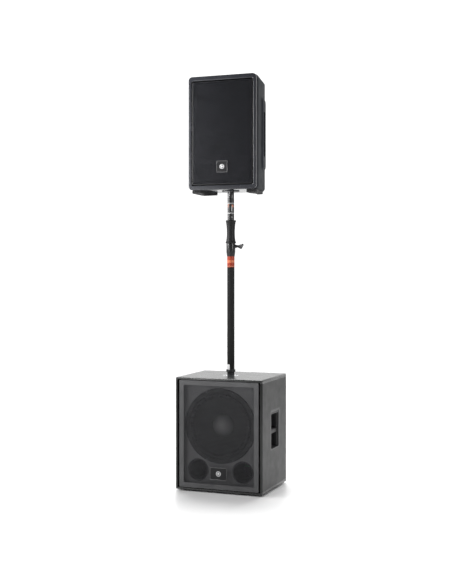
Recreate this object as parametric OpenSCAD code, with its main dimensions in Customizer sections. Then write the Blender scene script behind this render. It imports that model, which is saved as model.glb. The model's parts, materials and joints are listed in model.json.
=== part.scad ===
// A PA column: a vented 15 inch subwoofer, a telescopic pole screwed into its top,
// and a moulded 12 inch two-way speaker on the pole.
// Millimetres. The origin is on the floor, under the middle of the subwoofer.
// The front faces -Y, and +Z is up.

/* [Subwoofer cabinet] */
// Width of the cabinet
cab_w = 480; // [472:1:488]
// Depth of the cabinet, front to back
cab_d = 396; // [390:1:420]
// Height of the cabinet without its feet
cab_h = 585; // [580:1:600]
// Height of the rubber feet
foot_h = 6; // [4:1:12]
// Thickness of the plywood panels
panel_t = 18; // [15:1:18]
// Radius of the cabinet's rounded outer edges
edge_r = 8; // [4:1:9]

/* [Subwoofer front] */
// Thickness of the lip that is left around the front rebate
lip_t = 11; // [10:1:12]
// Depth of the baffle's face behind the cabinet's front edge
baffle_gap = 30; // [28:1:32]
// Width of the solid border around the grille
border_w = 25; // [20:1:28]
// Height of the woofer's centre above the cabinet's underside
woofer_up = 337; // [334:1:340]
// Distance of each port from the middle
port_x = 124; // [122:1:126]
// Height of the ports' centres above the cabinet's underside
port_up = 105; // [100:1:108]
// Radius of a port's flange
port_r = 58; // [55:0.5:60]
// Length of the port tubes behind the baffle
port_len = 160; // [120:5:170]

/* [Subwoofer handles] */
// Width of a handle's flange, front to back
handle_w = 149; // [145:1:155]
// Height of a handle's flange
handle_h = 208; // [204:1:212]
// Depth of the handle cup
handle_depth = 76; // [60:1:80]

/* [Pole] */
// Diameter of the upper tube, the size that speaker pole cups take
upper_d = 35; // [34.8:0.1:35]
// Outside diameter of the lower tube
lower_d = 39; // [38.8:0.1:39.2]
// Wall of both tubes
tube_wall = 1.5; // [1.2:0.1:1.5]
// Height above the subwoofer at which the twist grip starts
grip_up = 700; // [690:1:710]
// Height of the twist grip
grip_h = 122; // [118:1:126]
// Distance of the pole behind the middle of the subwoofer, negative towards the front
pole_y = -16; // [-17:1:-15]

/* [Top speaker] */
// Width of the speaker's bezel
spk_w = 376; // [372:1:380]
// Height of the speaker's bezel
spk_h = 593; // [589:1:597]
// Height of the bezel's lower edge above the top of the subwoofer
spk_up = 977; // [970:1:990]
// Distance of the bezel's face ahead of the pole
spk_ahead = 130; // [128:1:132]
// Wall of the moulded shell
spk_wall = 4; // [3:0.5:4]

/* [Hidden] */
$fn = 64;

// Gap between curved or sliding pieces that move against each other
gap = 0.4;
// Distance by which a cutting shape runs past the face that it cuts
past = 1;

// Subwoofer
cab_top = foot_h + cab_h;
side_x = cab_w / 2 - panel_t;
inner_z0 = foot_h + panel_t;
inner_z1 = cab_top - panel_t;
front_y = -cab_d / 2;
baffle_y = front_y + baffle_gap;
back_y = cab_d / 2 - 22;
frame_inset_side = 21;
frame_inset_end = 14;
frame_w = cab_w - 2 * frame_inset_side;
frame_h = cab_h - 2 * frame_inset_end;
frame_z = foot_h + cab_h / 2;
frame_t = 2;
grille_y = front_y + 4;
grille_t = 1.2;
woofer_z = foot_h + woofer_up;
woofer_r = 194;
woofer_hole_r = 178;
woofer_depth = 96;
woofer_coil_r = 38;
cone_r = 150;
roll_r = 9;
port_z = foot_h + port_up;
port_bore_r = 50;
port_wall = 3;
handle_y = 6.5;
handle_z = foot_h + 312;
socket_r = 22;
socket_flange_r = 40;
socket_depth = 58;
stud_r = 10;
stud_len = 40;
sub_amp_w = 300;
sub_amp_h = 380;
sub_amp_z = foot_h + 244;
amp_plate_t = 3;
sub_knob = [70, sub_amp_z + 60];
sub_push = [110, sub_amp_z + 60];
sub_rocker = [110, sub_amp_z - 130];
sub_inlet = [60, sub_amp_z - 130];
sub_xlrs = [[60, sub_amp_z + 140], [110, sub_amp_z + 140], [60, sub_amp_z + 5], [110, sub_amp_z + 5]];

// Pole
upper_r = upper_d / 2;
lower_r = lower_d / 2;
lower_bore_r = lower_r - tube_wall;
grip_z0 = cab_top + grip_up;
grip_z1 = grip_z0 + grip_h;
housing_h = 69;
housing_z0 = grip_z0 - housing_h;
housing_r = 24;
lower_top = grip_z0 - 30;
lock_z = grip_z0 - 16;
lock_screw_r = 4;
upper_bottom = cab_top + 209;
spk_z0 = cab_top + spk_up;
cup_depth = 74;
upper_top = spk_z0 + cup_depth;

// Top speaker
spk_y0 = pole_y - spk_ahead;
bezel_t = 12;
neck_t = 8;
shell_y0 = spk_y0 + bezel_t + neck_t;
taper_y0 = spk_y0 + 41;
taper_y1 = spk_y0 + 271;
spk_back_y = spk_y0 + 296;
taper_w1 = 284;
spk_back_w = 250;
taper = atan((spk_w - taper_w1) / 2 / (taper_y1 - taper_y0));
spk_corner_r = 20;
spk_rim_w = 16.5;
spk_rim_h = 22.5;
spk_baffle_y = spk_y0 + 24;
spk_mid_z = spk_z0 + spk_h / 2;
spk_woofer_z = spk_z0 + 185;
spk_woofer_r = 155;
spk_woofer_hole_r = 141;
spk_woofer_depth = 74;
spk_coil_r = 32;
spk_cone_r = 120;
horn_z = spk_z0 + 462;
horn_w = 300;
horn_h = 186;
horn_depth = 118;
cup_r = 25;
rail_h = 21;
grip_hole_y0 = spk_y0 + 166;
grip_hole_w = 62;
grip_hole_h = 244;
grip_hole_z = spk_z0 + 302;
spk_amp_w = 200;
spk_amp_h = 330;
spk_amp_z = spk_z0 + 250;
spk_knob_row_z = spk_amp_z + 60;
spk_knob_xs = [-62, -22, 50];
spk_xlr_row_z = spk_amp_z + 115;
spk_xlr_xs = [-62, -22, 50];
spk_inlet = [-40, spk_amp_z - 125];
spk_rocker = [20, spk_amp_z - 125];

// Colours
paint_black = [0.11, 0.11, 0.115];
steel_black = [0.16, 0.16, 0.17];
plastic_black = [0.09, 0.09, 0.1];
rubber_black = [0.06, 0.06, 0.06];

// ---- Shared shapes ----

// Turns +Z to the front, keeping +Y of the shape upwards
module to_front(x, y, z) {
    translate([x, y, z])
        rotate([90, 0, 0])
            children();
}

// Turns +Z to the back, keeping +Y of the shape upwards
module to_back(x, y, z) {
    translate([x, y, z])
        rotate([90, 0, 180])
            children();
}

module ring(r_out, r_in, h) {
    difference() {
        cylinder(r = r_out, h = h);
        translate([0, 0, -past])
            cylinder(r = r_in, h = h + 2 * past);
    }
}

// Rectangle with round corners, centred
module round_rect(w, h, r) {
    square([w - 2 * r, h], center = true);
    square([w, h - 2 * r], center = true);
    for (x = [-1, 1], y = [-1, 1])
        translate([x * (w / 2 - r), y * (h / 2 - r)])
            circle(r = r);
}

module round_slab(w, h, r, t) {
    linear_extrude(t)
        round_rect(w, h, r);
}

module round_frame(w, h, r, inner_w, inner_h, inner_r, t) {
    difference() {
        round_slab(w, h, r, t);
        translate([0, 0, -past])
            round_slab(inner_w, inner_h, inner_r, t + 2 * past);
    }
}

// Points of an arc around a centre, from one angle to another
function arc(cx, cy, r, a0, a1, steps = 10) =
    [for (i = [0:steps]) let (a = a0 + (a1 - a0) * i / steps) [cx + r * cos(a), cy + r * sin(a)]];

function circle_points(r, count, start = 0) =
    [for (i = [0:count - 1]) let (a = start + i * 360 / count) [r * cos(a), r * sin(a)]];

function frame_points(w, h, across, up) = concat(
    [for (i = [0:across - 1], s = [-1, 1]) [(i / (across - 1) - 0.5) * w, s * h / 2]],
    [for (i = [1:up - 2], s = [-1, 1]) [s * w / 2, (i / (up - 1) - 0.5) * h]]
);

screw_r = 2;
screw_head_r = 4.2;
screw_len = 12;

module screw() {
    translate([0, 0, -screw_len])
        cylinder(r = screw_r, h = screw_len);
    difference() {
        cylinder(r1 = screw_head_r, r2 = screw_head_r - 0.8, h = 2.2);
        translate([0, 0, 0.9])
            cylinder(r = 2, h = 3, $fn = 6);
    }
}

module screws(points) {
    for (p = points)
        translate([p[0], p[1], 0])
            screw();
}

module screw_holes(points) {
    for (p = points)
        translate([p[0], p[1], -screw_len])
            cylinder(r = screw_r, h = screw_len + past);
}

// ---- Loudspeaker drivers: +Z is the front, z = 0 is the baffle's face ----

module driver_basket(rim_r, hole_r, depth, coil_r, roll_in, window_w, bolts) {
    wall_top = hole_r - 3;
    wall_end = rim_r * 0.53;
    ledge_r = wall_end + (wall_top - wall_end) * 0.22;
    difference() {
        rotate_extrude()
            polygon([
                [roll_in, 0], [roll_in, 4], [roll_in + 6, 4], [roll_in + 7, 6],
                [rim_r - 1.5, 6], [rim_r, 4.5],
                [rim_r, 0], [wall_top, 0], [wall_end, -depth], [wall_end, -depth - 3],
                [coil_r + 12, -depth - 3], [coil_r + 12, -depth], [wall_end - 5, -depth],
                [wall_top - 5, -3], [roll_in, -3]
            ]);
        for (i = [0:5])
            rotate([0, 0, 30 + 60 * i])
                translate([coil_r + 14, -window_w / 2, -depth + 24])
                    cube([rim_r, window_w, depth - 40]);
        translate([0, 0, 6])
            screw_holes(circle_points(rim_r - 7, bolts, 22.5));
    }
    translate([0, 0, -depth + 18])
        ring(ledge_r, ledge_r - 12, 3);
}

module driver_motor(coil_r, magnet_r, depth, magnet_h) {
    plate_h = 8;
    top = -depth - 3;
    translate([0, 0, top - plate_h])
        ring(magnet_r - 6, coil_r + 3, plate_h);
    translate([0, 0, top - plate_h - magnet_h])
        ring(magnet_r, coil_r + 8, magnet_h);
    difference() {
        union() {
            translate([0, 0, top - 2 * plate_h - magnet_h])
                cylinder(r = magnet_r - 6, h = plate_h);
            translate([0, 0, top - plate_h - magnet_h])
                cylinder(r = coil_r - 1.4, h = magnet_h + plate_h);
        }
        translate([0, 0, top - 2 * plate_h - magnet_h - past])
            cylinder(r = coil_r * 0.45, h = 2 * plate_h + magnet_h + 2 * past);
    }
}

// Half roll with flat flanges, on the basket's rim outside and on the cone's edge inside
module driver_surround(cone_edge, roll) {
    mid = cone_edge + roll;
    base = 4;
    rotate_extrude()
        polygon(concat(
            [[cone_edge - 5, base], [cone_edge - 5, base + 1]],
            arc(mid, base + 1, roll, 180, 0, 14),
            [[cone_edge + 2 * roll + 3, base + 1], [cone_edge + 2 * roll + 3, base]],
            arc(mid, base, roll - 1, 0, 180, 14)
        ));
}

function cone_curve(edge, coil_r, depth, lift) =
    [for (i = [0:8]) let (t = i / 8) [
        coil_r + (edge - coil_r) * t,
        -depth * pow(1 - t, 1.25) + lift
    ]];

module driver_cone(edge, coil_r, depth) {
    wall = 1.4;
    outer = cone_curve(edge, coil_r, depth, 4);
    rotate_extrude()
        polygon(concat(
            outer,
            [for (i = [8:-1:0]) [outer[i][0], outer[i][1] - wall]]
        ));
}

// Domed cap, a slice of a hollow ball, standing on the cone
module driver_cap(cap_r, rise, z) {
    ball_r = (cap_r * cap_r + rise * rise) / (2 * rise);
    half = asin(cap_r / ball_r);
    wall = 1;
    translate([0, 0, z + rise - ball_r])
        rotate_extrude()
            polygon(concat(
                [[0, ball_r]],
                arc(0, 0, ball_r, 90 - half / 10, 90 - half, 9),
                arc(0, 0, ball_r - wall, 90 - half, 90 - half / 10, 9),
                [[0, ball_r - wall]]
            ));
}

module driver_coil(coil_r, top, bottom) {
    translate([0, 0, bottom])
        ring(coil_r + 0.6, coil_r, top - bottom);
    translate([0, 0, bottom + 3])
        ring(coil_r + 1.6, coil_r + 0.6, 16);
}

module driver_spider(r_in, r_out, z) {
    waves = 5;
    steps = 40;
    upper = [for (i = [0:steps]) let (t = i / steps) [
        r_in + (r_out - r_in) * t, z - 1.8 * sin(360 * waves * t)
    ]];
    rotate_extrude()
        polygon(concat(upper, [for (i = [steps:-1:0]) [upper[i][0], upper[i][1] + 0.7]]));
}

// ---- Rear panel fittings: +Z is outwards, z = 0 is the panel's face ----

xlr_flange = [27, 31];
xlr_hole_r = 12;
xlr_bore_r = 9.5;

// Round signal socket with a recess 12 mm deep and three short contacts at its bottom
module signal_socket() {
    difference() {
        union() {
            round_slab(xlr_flange[0], xlr_flange[1], 3, 1.8);
            translate([0, 0, -18])
                cylinder(r = xlr_hole_r, h = 18 + past);
        }
        translate([0, 0, -10])
            cylinder(r = xlr_bore_r, h = 20);
    }
    for (a = [90, 210, 330])
        rotate([0, 0, a])
            translate([5, 0, -11])
                cylinder(r = 1.2, h = 4.5, $fn = 24);
}

inlet_flange = [52, 30];
inlet_hole = [32, 25];
inlet_bore = [27, 20];

// Mains inlet with three flat blades in a recess 16 mm deep
module mains_inlet() {
    difference() {
        union() {
            round_slab(inlet_flange[0], inlet_flange[1], 3, 1.8);
            translate([0, 0, -20])
                round_slab(inlet_hole[0], inlet_hole[1], 3, 20 + past);
        }
        translate([0, 0, -14])
            round_slab(inlet_bore[0], inlet_bore[1], 3, 20);
    }
    for (p = [[-7, -2], [0, 3], [7, -2]])
        translate([p[0], p[1], -11.5])
            cube([2, 5, 7], center = true);
}

knob_shaft_r = 3;

// Round control knob with a fluted skirt and a raised pointer
module knob(r, h) {
    translate([0, 0, -8])
        cylinder(r = knob_shaft_r, h = 9);
    difference() {
        union() {
            translate([0, 0, 0.6])
                cylinder(r = r, h = 2.4);
            translate([0, 0, 3])
                cylinder(r1 = r - 1, r2 = r - 2, h = h - 3);
        }
        for (i = [0:11])
            rotate([0, 0, 30 * i + 15])
                translate([r - 0.6, 0, 4])
                    cylinder(r = 1.1, h = h, $fn = 24);
    }
    translate([-0.6, r * 0.15, h])
        cube([1.2, r * 0.6, 0.6]);
}

rocker_hole = [15, 24];
rocker_tilt = 7;

// Rocker, turned about its own middle, 2 mm behind the panel's face
module rocker() {
    translate([0, 0, -2])
        rotate([rocker_tilt, 0, 0])
            intersection() {
                cube([14, 21, 10], center = true);
                translate([0, 0, -15])
                    rotate([0, 90, 0])
                        cylinder(r = 20, h = 20, center = true);
            }
}

module rocker_bezel() {
    round_frame(20, 29, 2, rocker_hole[0], rocker_hole[1], 1, 2);
}

// Plate with its fittings' holes; fins rise on one side
module amp_plate(w, h, xlrs, knobs, pushes, rockers, inlets, fins) {
    difference() {
        round_slab(w, h, 6, amp_plate_t);
        for (p = xlrs)
            translate([p[0], p[1], -past])
                cylinder(r = xlr_hole_r, h = amp_plate_t + 2 * past);
        for (p = knobs)
            translate([p[0], p[1], -past])
                cylinder(r = knob_shaft_r + gap, h = amp_plate_t + 2 * past);
        for (p = pushes)
            translate([p[0], p[1], -past])
                cylinder(r = 4 + gap, h = amp_plate_t + 2 * past);
        for (p = rockers)
            translate([p[0], p[1], -past])
                round_slab(rocker_hole[0], rocker_hole[1], 1, amp_plate_t + 2 * past);
        for (p = inlets)
            translate([p[0], p[1], -past])
                round_slab(inlet_hole[0], inlet_hole[1], 3, amp_plate_t + 2 * past);
        translate([0, 0, amp_plate_t])
            screw_holes(frame_points(w - 16, h - 16, 3, 4));
    }
    for (p = rockers)
        translate([p[0], p[1], amp_plate_t])
            rocker_bezel();
    for (f = fins)
        translate([f[0] - 1.5, f[1], amp_plate_t])
            cube([3, f[2], 11]);
}

// Circuit board on posts behind the plate, with a transformer, capacitors and a heat spreader
module amp_board(w, h, deep) {
    translate([-w / 2, -h / 2, -deep])
        cube([w, h, 2]);
    for (x = [-1, 1], y = [-1, 1])
        translate([x * (w / 2 - 8), y * (h / 2 - 8), -deep + 2])
            cylinder(r = 4, h = deep - 2);
    translate([-w / 4, -h / 4, -deep + 2])
        cylinder(r = w / 7, h = 24);
    for (i = [0:3])
        translate([w * 0.12, h * (0.3 - 0.15 * i), -deep + 2])
            cylinder(r = 8, h = 20);
    translate([-w * 0.35, h * 0.08, -deep + 2])
        cube([w * 0.3, h * 0.28, 12]);
}

// ---- Subwoofer cabinet ----

module cabinet_block() {
    intersection() {
        translate([0, 0, foot_h])
            round_slab(cab_w, cab_d, edge_r, cab_h);
        translate([0, cab_d / 2, frame_z])
            rotate([90, 0, 0])
                round_slab(cab_w, cab_h, edge_r, cab_d);
        translate([-cab_w / 2, 0, frame_z])
            rotate([90, 0, 90])
                round_slab(cab_d, cab_h, edge_r, cab_w);
    }
}

module cabinet_slice(low, high) {
    difference() {
        intersection() {
            cabinet_block();
            translate(low)
                cube(high - low);
        }
        // rebate that the grille's frame sits in
        translate([-cab_w / 2 + lip_t, front_y - past, foot_h + lip_t])
            cube([cab_w - 2 * lip_t, baffle_gap + past, cab_h - 2 * lip_t]);
    }
}

foot_points = [for (x = [-1, 1], y = [-1, 1]) [x * (cab_w / 2 - 42), y * (cab_d / 2 - 42)]];
socket_screws = circle_points(32, 4, 45);

module sub_top_panel() {
    color(paint_black)
        difference() {
            cabinet_slice([-cab_w / 2, front_y, inner_z1], [cab_w / 2, cab_d / 2, cab_top]);
            translate([0, pole_y, inner_z1 - past])
                cylinder(r = socket_r, h = panel_t + 2 * past);
            translate([0, pole_y, cab_top - 4])
                cylinder(r = socket_flange_r, h = 4 + past);
            translate([0, pole_y, cab_top])
                screw_holes(socket_screws);
        }
}

module sub_bottom_panel() {
    color(paint_black)
        difference() {
            cabinet_slice([-cab_w / 2, front_y, foot_h], [cab_w / 2, cab_d / 2, inner_z0]);
            translate([0, 0, foot_h])
                mirror([0, 0, 1])
                    screw_holes(foot_points);
        }
}

// Cup's cut-out in a side panel, in the handle's own frame
cup_mid = [-6, -8.5];
cup_hole = [122, 180];
handle_screws = frame_points(handle_w - 12, handle_h - 14, 2, 3);

module on_right_side() {
    translate([cab_w / 2, handle_y, handle_z])
        rotate([90, 0, 90])
            children();
}

module sub_right_panel() {
    color(paint_black)
        difference() {
            cabinet_slice([side_x, front_y, inner_z0], [cab_w / 2, cab_d / 2, inner_z1]);
            on_right_side() {
                translate([0, 0, -2.5])
                    round_slab(handle_w, handle_h, 10, 2.5 + past);
                translate([cup_mid[0], cup_mid[1], -panel_t - past])
                    round_slab(cup_hole[0], cup_hole[1], 8, panel_t + 2 * past);
                screw_holes(handle_screws);
            }
        }
}

module sub_left_panel() {
    mirror([1, 0, 0])
        sub_right_panel();
}

module sub_back_panel() {
    color(paint_black)
        difference() {
            translate([-side_x, back_y - panel_t, inner_z0])
                cube([2 * side_x, panel_t, inner_z1 - inner_z0]);
            to_back(0, back_y, sub_amp_z) {
                translate([0, 0, -panel_t - past])
                    round_slab(sub_amp_w - 32, sub_amp_h - 32, 6, panel_t + 2 * past);
                translate([0, 0, amp_plate_t])
                    screw_holes(frame_points(sub_amp_w - 16, sub_amp_h - 16, 3, 4));
            }
        }
}

module sub_baffle() {
    color([0.13, 0.13, 0.14])
        difference() {
            translate([-side_x, baffle_y, inner_z0])
                cube([2 * side_x, panel_t, inner_z1 - inner_z0]);
            to_front(0, baffle_y, woofer_z) {
                translate([0, 0, -panel_t - past])
                    cylinder(r = woofer_hole_r, h = panel_t + 2 * past);
                translate([0, 0, 6])
                    screw_holes(circle_points(woofer_r - 7, 8, 22.5));
            }
            for (x = [-1, 1])
                to_front(x * port_x, baffle_y, port_z)
                    translate([0, 0, -panel_t - past])
                        cylinder(r = port_bore_r + port_wall, h = panel_t + 2 * past);
        }
}

module sub_front_frame() {
    wall = 2;
    color(steel_black)
        to_front(0, front_y + 2 + frame_t, frame_z) {
            round_frame(
                frame_w, frame_h, 6,
                frame_w - 2 * border_w, frame_h - 2 * border_w, 4, frame_t
            );
            translate([0, 0, -(baffle_gap - 2 - frame_t)])
                round_frame(
                    frame_w, frame_h, 6,
                    frame_w - 2 * wall, frame_h - 2 * wall, 4, baffle_gap - 2 - frame_t
                );
        }
}

module sub_grille() {
    color([0.2, 0.2, 0.21])
        to_front(0, grille_y + grille_t, frame_z)
            round_slab(frame_w - 5, frame_h - 5, 4, grille_t);
}

badge_t = 2.6;

module badge(w, h) {
    round_slab(w, h, 2, badge_t * 0.7);
    translate([0, 0, badge_t * 0.7])
        round_frame(w, h, 2, w - 5, h - 5, 1.5, badge_t * 0.3);
}

module sub_badge() {
    color([0.35, 0.35, 0.36])
        to_front(0, grille_y, foot_h + 95)
            badge(92, 64);
}

module sub_woofer_basket() {
    color([0.12, 0.12, 0.13])
        to_front(0, baffle_y, woofer_z)
            driver_basket(
                woofer_r, woofer_hole_r, woofer_depth, woofer_coil_r, cone_r + 2 * roll_r - 2, 96, 8
            );
}

module sub_woofer_motor() {
    color([0.3, 0.3, 0.32])
        to_front(0, baffle_y, woofer_z)
            driver_motor(woofer_coil_r, 95, woofer_depth, 30);
}

module sub_woofer_surround() {
    color(rubber_black)
        to_front(0, baffle_y, woofer_z)
            driver_surround(cone_r, roll_r);
}

module sub_woofer_spider() {
    color([0.72, 0.62, 0.4])
        to_front(0, baffle_y, woofer_z)
            driver_spider(woofer_coil_r + 1, 112, -woofer_depth + 21);
}

module sub_woofer_cone() {
    color([0.1, 0.1, 0.1])
        to_front(0, baffle_y, woofer_z)
            driver_cone(cone_r, woofer_coil_r + 0.7, 62);
}

module sub_dust_cap() {
    color([0.14, 0.14, 0.14])
        to_front(0, baffle_y, woofer_z)
            driver_cap(60, 20, -43);
}

module sub_voice_coil() {
    color([0.75, 0.45, 0.25])
        to_front(0, baffle_y, woofer_z)
            driver_coil(woofer_coil_r, -56, -120);
}

module sub_port_tubes() {
    flare = 7;
    outer = port_bore_r + port_wall;
    color(plastic_black)
        for (x = [-1, 1])
            to_front(x * port_x, baffle_y, port_z)
                rotate_extrude()
                    polygon(concat(
                        [[outer, 0], [port_r, 0], [port_r, 1.5]],
                        [[port_bore_r + flare, 2.5]],
                        arc(port_bore_r + flare, 2.5 - flare, flare, 90, 180, 8),
                        [[port_bore_r, -port_len], [outer, -port_len]]
                    ));
}

// ---- Handles ----

module handle() {
    wall = 3;
    bar_up = -10.5 - 2;
    difference() {
        union() {
            translate([0, 0, -2.5])
                round_slab(handle_w, handle_h, 10, 2.5);
            translate([cup_mid[0], cup_mid[1], -handle_depth])
                round_slab(cup_hole[0], cup_hole[1], 8, handle_depth);
        }
        // flared mouth
        hull() {
            translate([0, -1, 0.05])
                round_slab(handle_w - 20, handle_h - 14, 8, 0.1, $fn = 32);
            translate([cup_mid[0], cup_mid[1], -12])
                round_slab(cup_hole[0] - 2 * wall, cup_hole[1] - 2 * wall, 6, 0.1, $fn = 32);
        }
        translate([cup_mid[0], cup_mid[1], -handle_depth + wall])
            round_slab(cup_hole[0] - 2 * wall, cup_hole[1] - 2 * wall, 6, handle_depth - wall - 11.9);
        screw_holes(handle_screws);
    }
    // bar across the cup
    translate([cup_mid[0], bar_up, -23])
        rotate([0, 90, 0])
            linear_extrude(cup_hole[0] - 2 * wall, center = true)
                round_rect(24, 25, 8);
}

module sub_handle_right() {
    color(plastic_black)
        on_right_side()
            handle();
}

module sub_handle_left() {
    mirror([1, 0, 0])
        sub_handle_right();
}

// ---- Subwoofer fittings ----

module sub_pole_socket() {
    color([0.25, 0.25, 0.26])
        translate([0, pole_y, cab_top])
            difference() {
                union() {
                    translate([0, 0, -4])
                        cylinder(r = socket_flange_r, h = 4);
                    translate([0, 0, -socket_depth])
                        cylinder(r = socket_r, h = socket_depth);
                }
                translate([0, 0, -stud_len - 2])
                    cylinder(r = stud_r + 0.1, h = stud_len + 2 + past);
                screw_holes(socket_screws);
            }
}

module sub_feet() {
    color(rubber_black)
        for (p = foot_points)
            translate([p[0], p[1], 0])
                difference() {
                    cylinder(r1 = 16, r2 = 18, h = foot_h);
                    translate([0, 0, -past])
                        cylinder(r = 6, h = foot_h - 2 + past);
                    translate([0, 0, -past])
                        cylinder(r = screw_r, h = foot_h + 2 * past);
                }
}

sub_fins = [for (i = [0:11]) [-130 + 12 * i, -150, 300]];

// A point on a rear panel, seen from behind, relative to that panel's middle
function on_plate(p, mid_z) = [-p[0], p[1] - mid_z];

module sub_amp_plate() {
    color([0.13, 0.13, 0.135])
        to_back(0, back_y, sub_amp_z)
            amp_plate(
                sub_amp_w, sub_amp_h,
                [for (p = sub_xlrs) on_plate(p, sub_amp_z)],
                [on_plate(sub_knob, sub_amp_z)],
                [on_plate(sub_push, sub_amp_z)],
                [on_plate(sub_rocker, sub_amp_z)],
                [on_plate(sub_inlet, sub_amp_z)],
                [for (f = sub_fins) [-f[0], f[1], f[2]]]
            );
}

module sub_amp_electronics() {
    color([0.1, 0.35, 0.18])
        to_back(0, back_y, sub_amp_z)
            amp_board(sub_amp_w - 50, sub_amp_h - 50, 60);
}

module sub_sockets() {
    color([0.2, 0.2, 0.21])
        to_back(0, back_y + amp_plate_t, 0) {
            for (p = sub_xlrs)
                translate([-p[0], p[1], 0])
                    signal_socket();
            translate([-sub_inlet[0], sub_inlet[1], 0])
                mains_inlet();
        }
}

module sub_level_knob() {
    color([0.1, 0.1, 0.1])
        to_back(sub_knob[0], back_y + amp_plate_t, sub_knob[1])
            knob(10, 14);
}

module sub_power_switch() {
    color([0.08, 0.08, 0.08])
        to_back(sub_rocker[0], back_y + amp_plate_t, sub_rocker[1])
            rocker();
}

module sub_button() {
    color([0.6, 0.6, 0.62])
        to_back(sub_push[0], back_y + amp_plate_t, sub_push[1])
            translate([0, 0, -9])
                cylinder(r = 4, h = 14);
}

module sub_fasteners() {
    color([0.15, 0.15, 0.15]) {
        to_front(0, baffle_y - 6, woofer_z)
            screws(circle_points(woofer_r - 7, 8, 22.5));
        to_back(0, back_y + amp_plate_t, sub_amp_z)
            screws(frame_points(sub_amp_w - 16, sub_amp_h - 16, 3, 4));
        translate([0, pole_y, cab_top])
            intersection() {
                screws(socket_screws);
                translate([-50, -50, -20])
                    cube([100, 100, 21]);
            }
        for (p = foot_points)
            translate([p[0], p[1], foot_h - 2])
                mirror([0, 0, 1])
                    intersection() {
                        screw();
                        translate([-6, -6, -11])
                            cube([12, 12, 12.5]);
                    }
    }
    color([0.15, 0.15, 0.15])
        for (s = [0, 1])
            mirror([s, 0, 0])
                on_right_side()
                    intersection() {
                        screws(handle_screws);
                        translate([-200, -200, -20])
                            cube([400, 400, 20]);
                    }
}

// ---- Pole ----

foot_neck_h = 20;
foot_collar_h = 12;
foot_collar_r = 24.5;
foot_seat_h = 2;

// Threaded stud, shoulder and collar, with a spigot inside the lower tube
module pole_foot() {
    color([0.2, 0.2, 0.21])
        translate([0, pole_y, cab_top]) {
            translate([0, 0, -stud_len])
                cylinder(r = stud_r, h = stud_len);
            cylinder(r = 19, h = foot_neck_h);
            translate([0, 0, foot_neck_h]) {
                ring(foot_collar_r, lower_r, foot_collar_h);
                cylinder(r = lower_bore_r, h = 33);
                cylinder(r = lower_r, h = foot_seat_h);
            }
        }
}

module pole_lower_tube() {
    start = cab_top + foot_neck_h + foot_seat_h;
    color([0.07, 0.07, 0.07])
        translate([0, pole_y, start])
            ring(lower_r, lower_bore_r, lower_top - start);
}

band_z0 = housing_z0 - 58;
label_h = 27;

// Printed sleeves: a coloured band below the clutch, and a plain label above the foot
module pole_lower_wraps() {
    color([0.9, 0.3, 0.1])
        translate([0, pole_y, band_z0])
            ring(lower_r + 0.4, lower_r, 58);
    color([0.9, 0.9, 0.9])
        translate([0, pole_y, cab_top + foot_neck_h + foot_collar_h])
            intersection() {
                ring(lower_r + 0.3, lower_r, label_h);
                translate([-15.5, -30, 0])
                    cube([19.5, 30, label_h]);
            }
}

collet_r = 20.6;

module pole_clutch_housing() {
    boss_r = 9;
    color([0.08, 0.08, 0.08])
        translate([0, pole_y, 0])
            difference() {
                union() {
                    translate([0, 0, housing_z0])
                        cylinder(r1 = lower_r + 1.2, r2 = housing_r, h = 22);
                    translate([0, 0, housing_z0 + 22])
                        cylinder(r = housing_r, h = housing_h - 22 - gap);
                    translate([0, 0, lock_z])
                        rotate([0, 90, 0])
                            cylinder(r = boss_r, h = 32);
                }
                translate([0, 0, housing_z0 - past])
                    cylinder(r = lower_r, h = lower_top - housing_z0 + past);
                translate([0, 0, lower_top - past])
                    cylinder(r = collet_r, h = housing_h);
                translate([0, 0, lock_z])
                    rotate([0, 90, 0])
                        cylinder(r = lock_screw_r + gap, h = 60);
            }
}

module pole_collet() {
    color([0.75, 0.75, 0.72])
        translate([0, pole_y, lower_top])
            difference() {
                ring(collet_r, upper_r + 0.8, grip_z0 - lower_top - gap);
                for (a = [0, 90])
                    rotate([0, 0, 45 + a])
                        translate([-30, -1, -past])
                            cube([60, 2, 24]);
                translate([0, 0, lock_z - lower_top])
                    rotate([0, 90, 0])
                        cylinder(r = lock_screw_r + gap, h = 40);
            }
}

// Hourglass grip: lips at both ends, narrow waist below the middle
module pole_grip() {
    bore = upper_r + 0.9;
    lip = 28;
    waist = 21.3;
    waist_up = 54;
    lower = [for (i = [0:8]) let (t = i / 8) [
        waist + 3.2 * pow(1 - t, 2), 14 + (waist_up - 14) * t
    ]];
    upper = [for (i = [1:8]) let (t = i / 8) [
        waist + 4 * pow(t, 2), waist_up + (grip_h - 12 - waist_up) * t
    ]];
    color([0.1, 0.1, 0.1])
        translate([0, pole_y, grip_z0])
            rotate_extrude()
                polygon(concat(
                    [[bore, 0], [lip - 2, 0], [lip, 2], [lip, 7], [lip - 2.5, 10]],
                    lower,
                    upper,
                    [
                        [lip - 0.5, grip_h - 5], [lip, grip_h - 3], [lip - 1, grip_h],
                        [bore, grip_h]
                    ]
                ));
}

// Clamping screw with a wing on its end
module pole_lock_knob() {
    hub_x = 32 + gap;
    wing_reach = 16;
    wing_turn = 55;
    color([0.08, 0.08, 0.08])
        translate([0, pole_y, lock_z]) {
            translate([upper_r + 0.7, 0, 0])
                rotate([0, 90, 0])
                    cylinder(r = lock_screw_r, h = hub_x - upper_r);
            translate([hub_x, 0, 0])
                rotate([0, 90, 0])
                    cylinder(r1 = 7.5, r2 = 6, h = 12);
            rotate([-wing_turn, 0, 0])
                hull() {
                    translate([hub_x + 9, 0, 0])
                        rotate([90, 0, 0])
                            cylinder(r = 5, h = 8, center = true, $fn = 32);
                    for (z = [-1, 1])
                        translate([hub_x + 30, 0, z * wing_reach])
                            rotate([90, 0, 0])
                                cylinder(r = 5, h = 6, center = true, $fn = 32);
                }
        }
}

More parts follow.
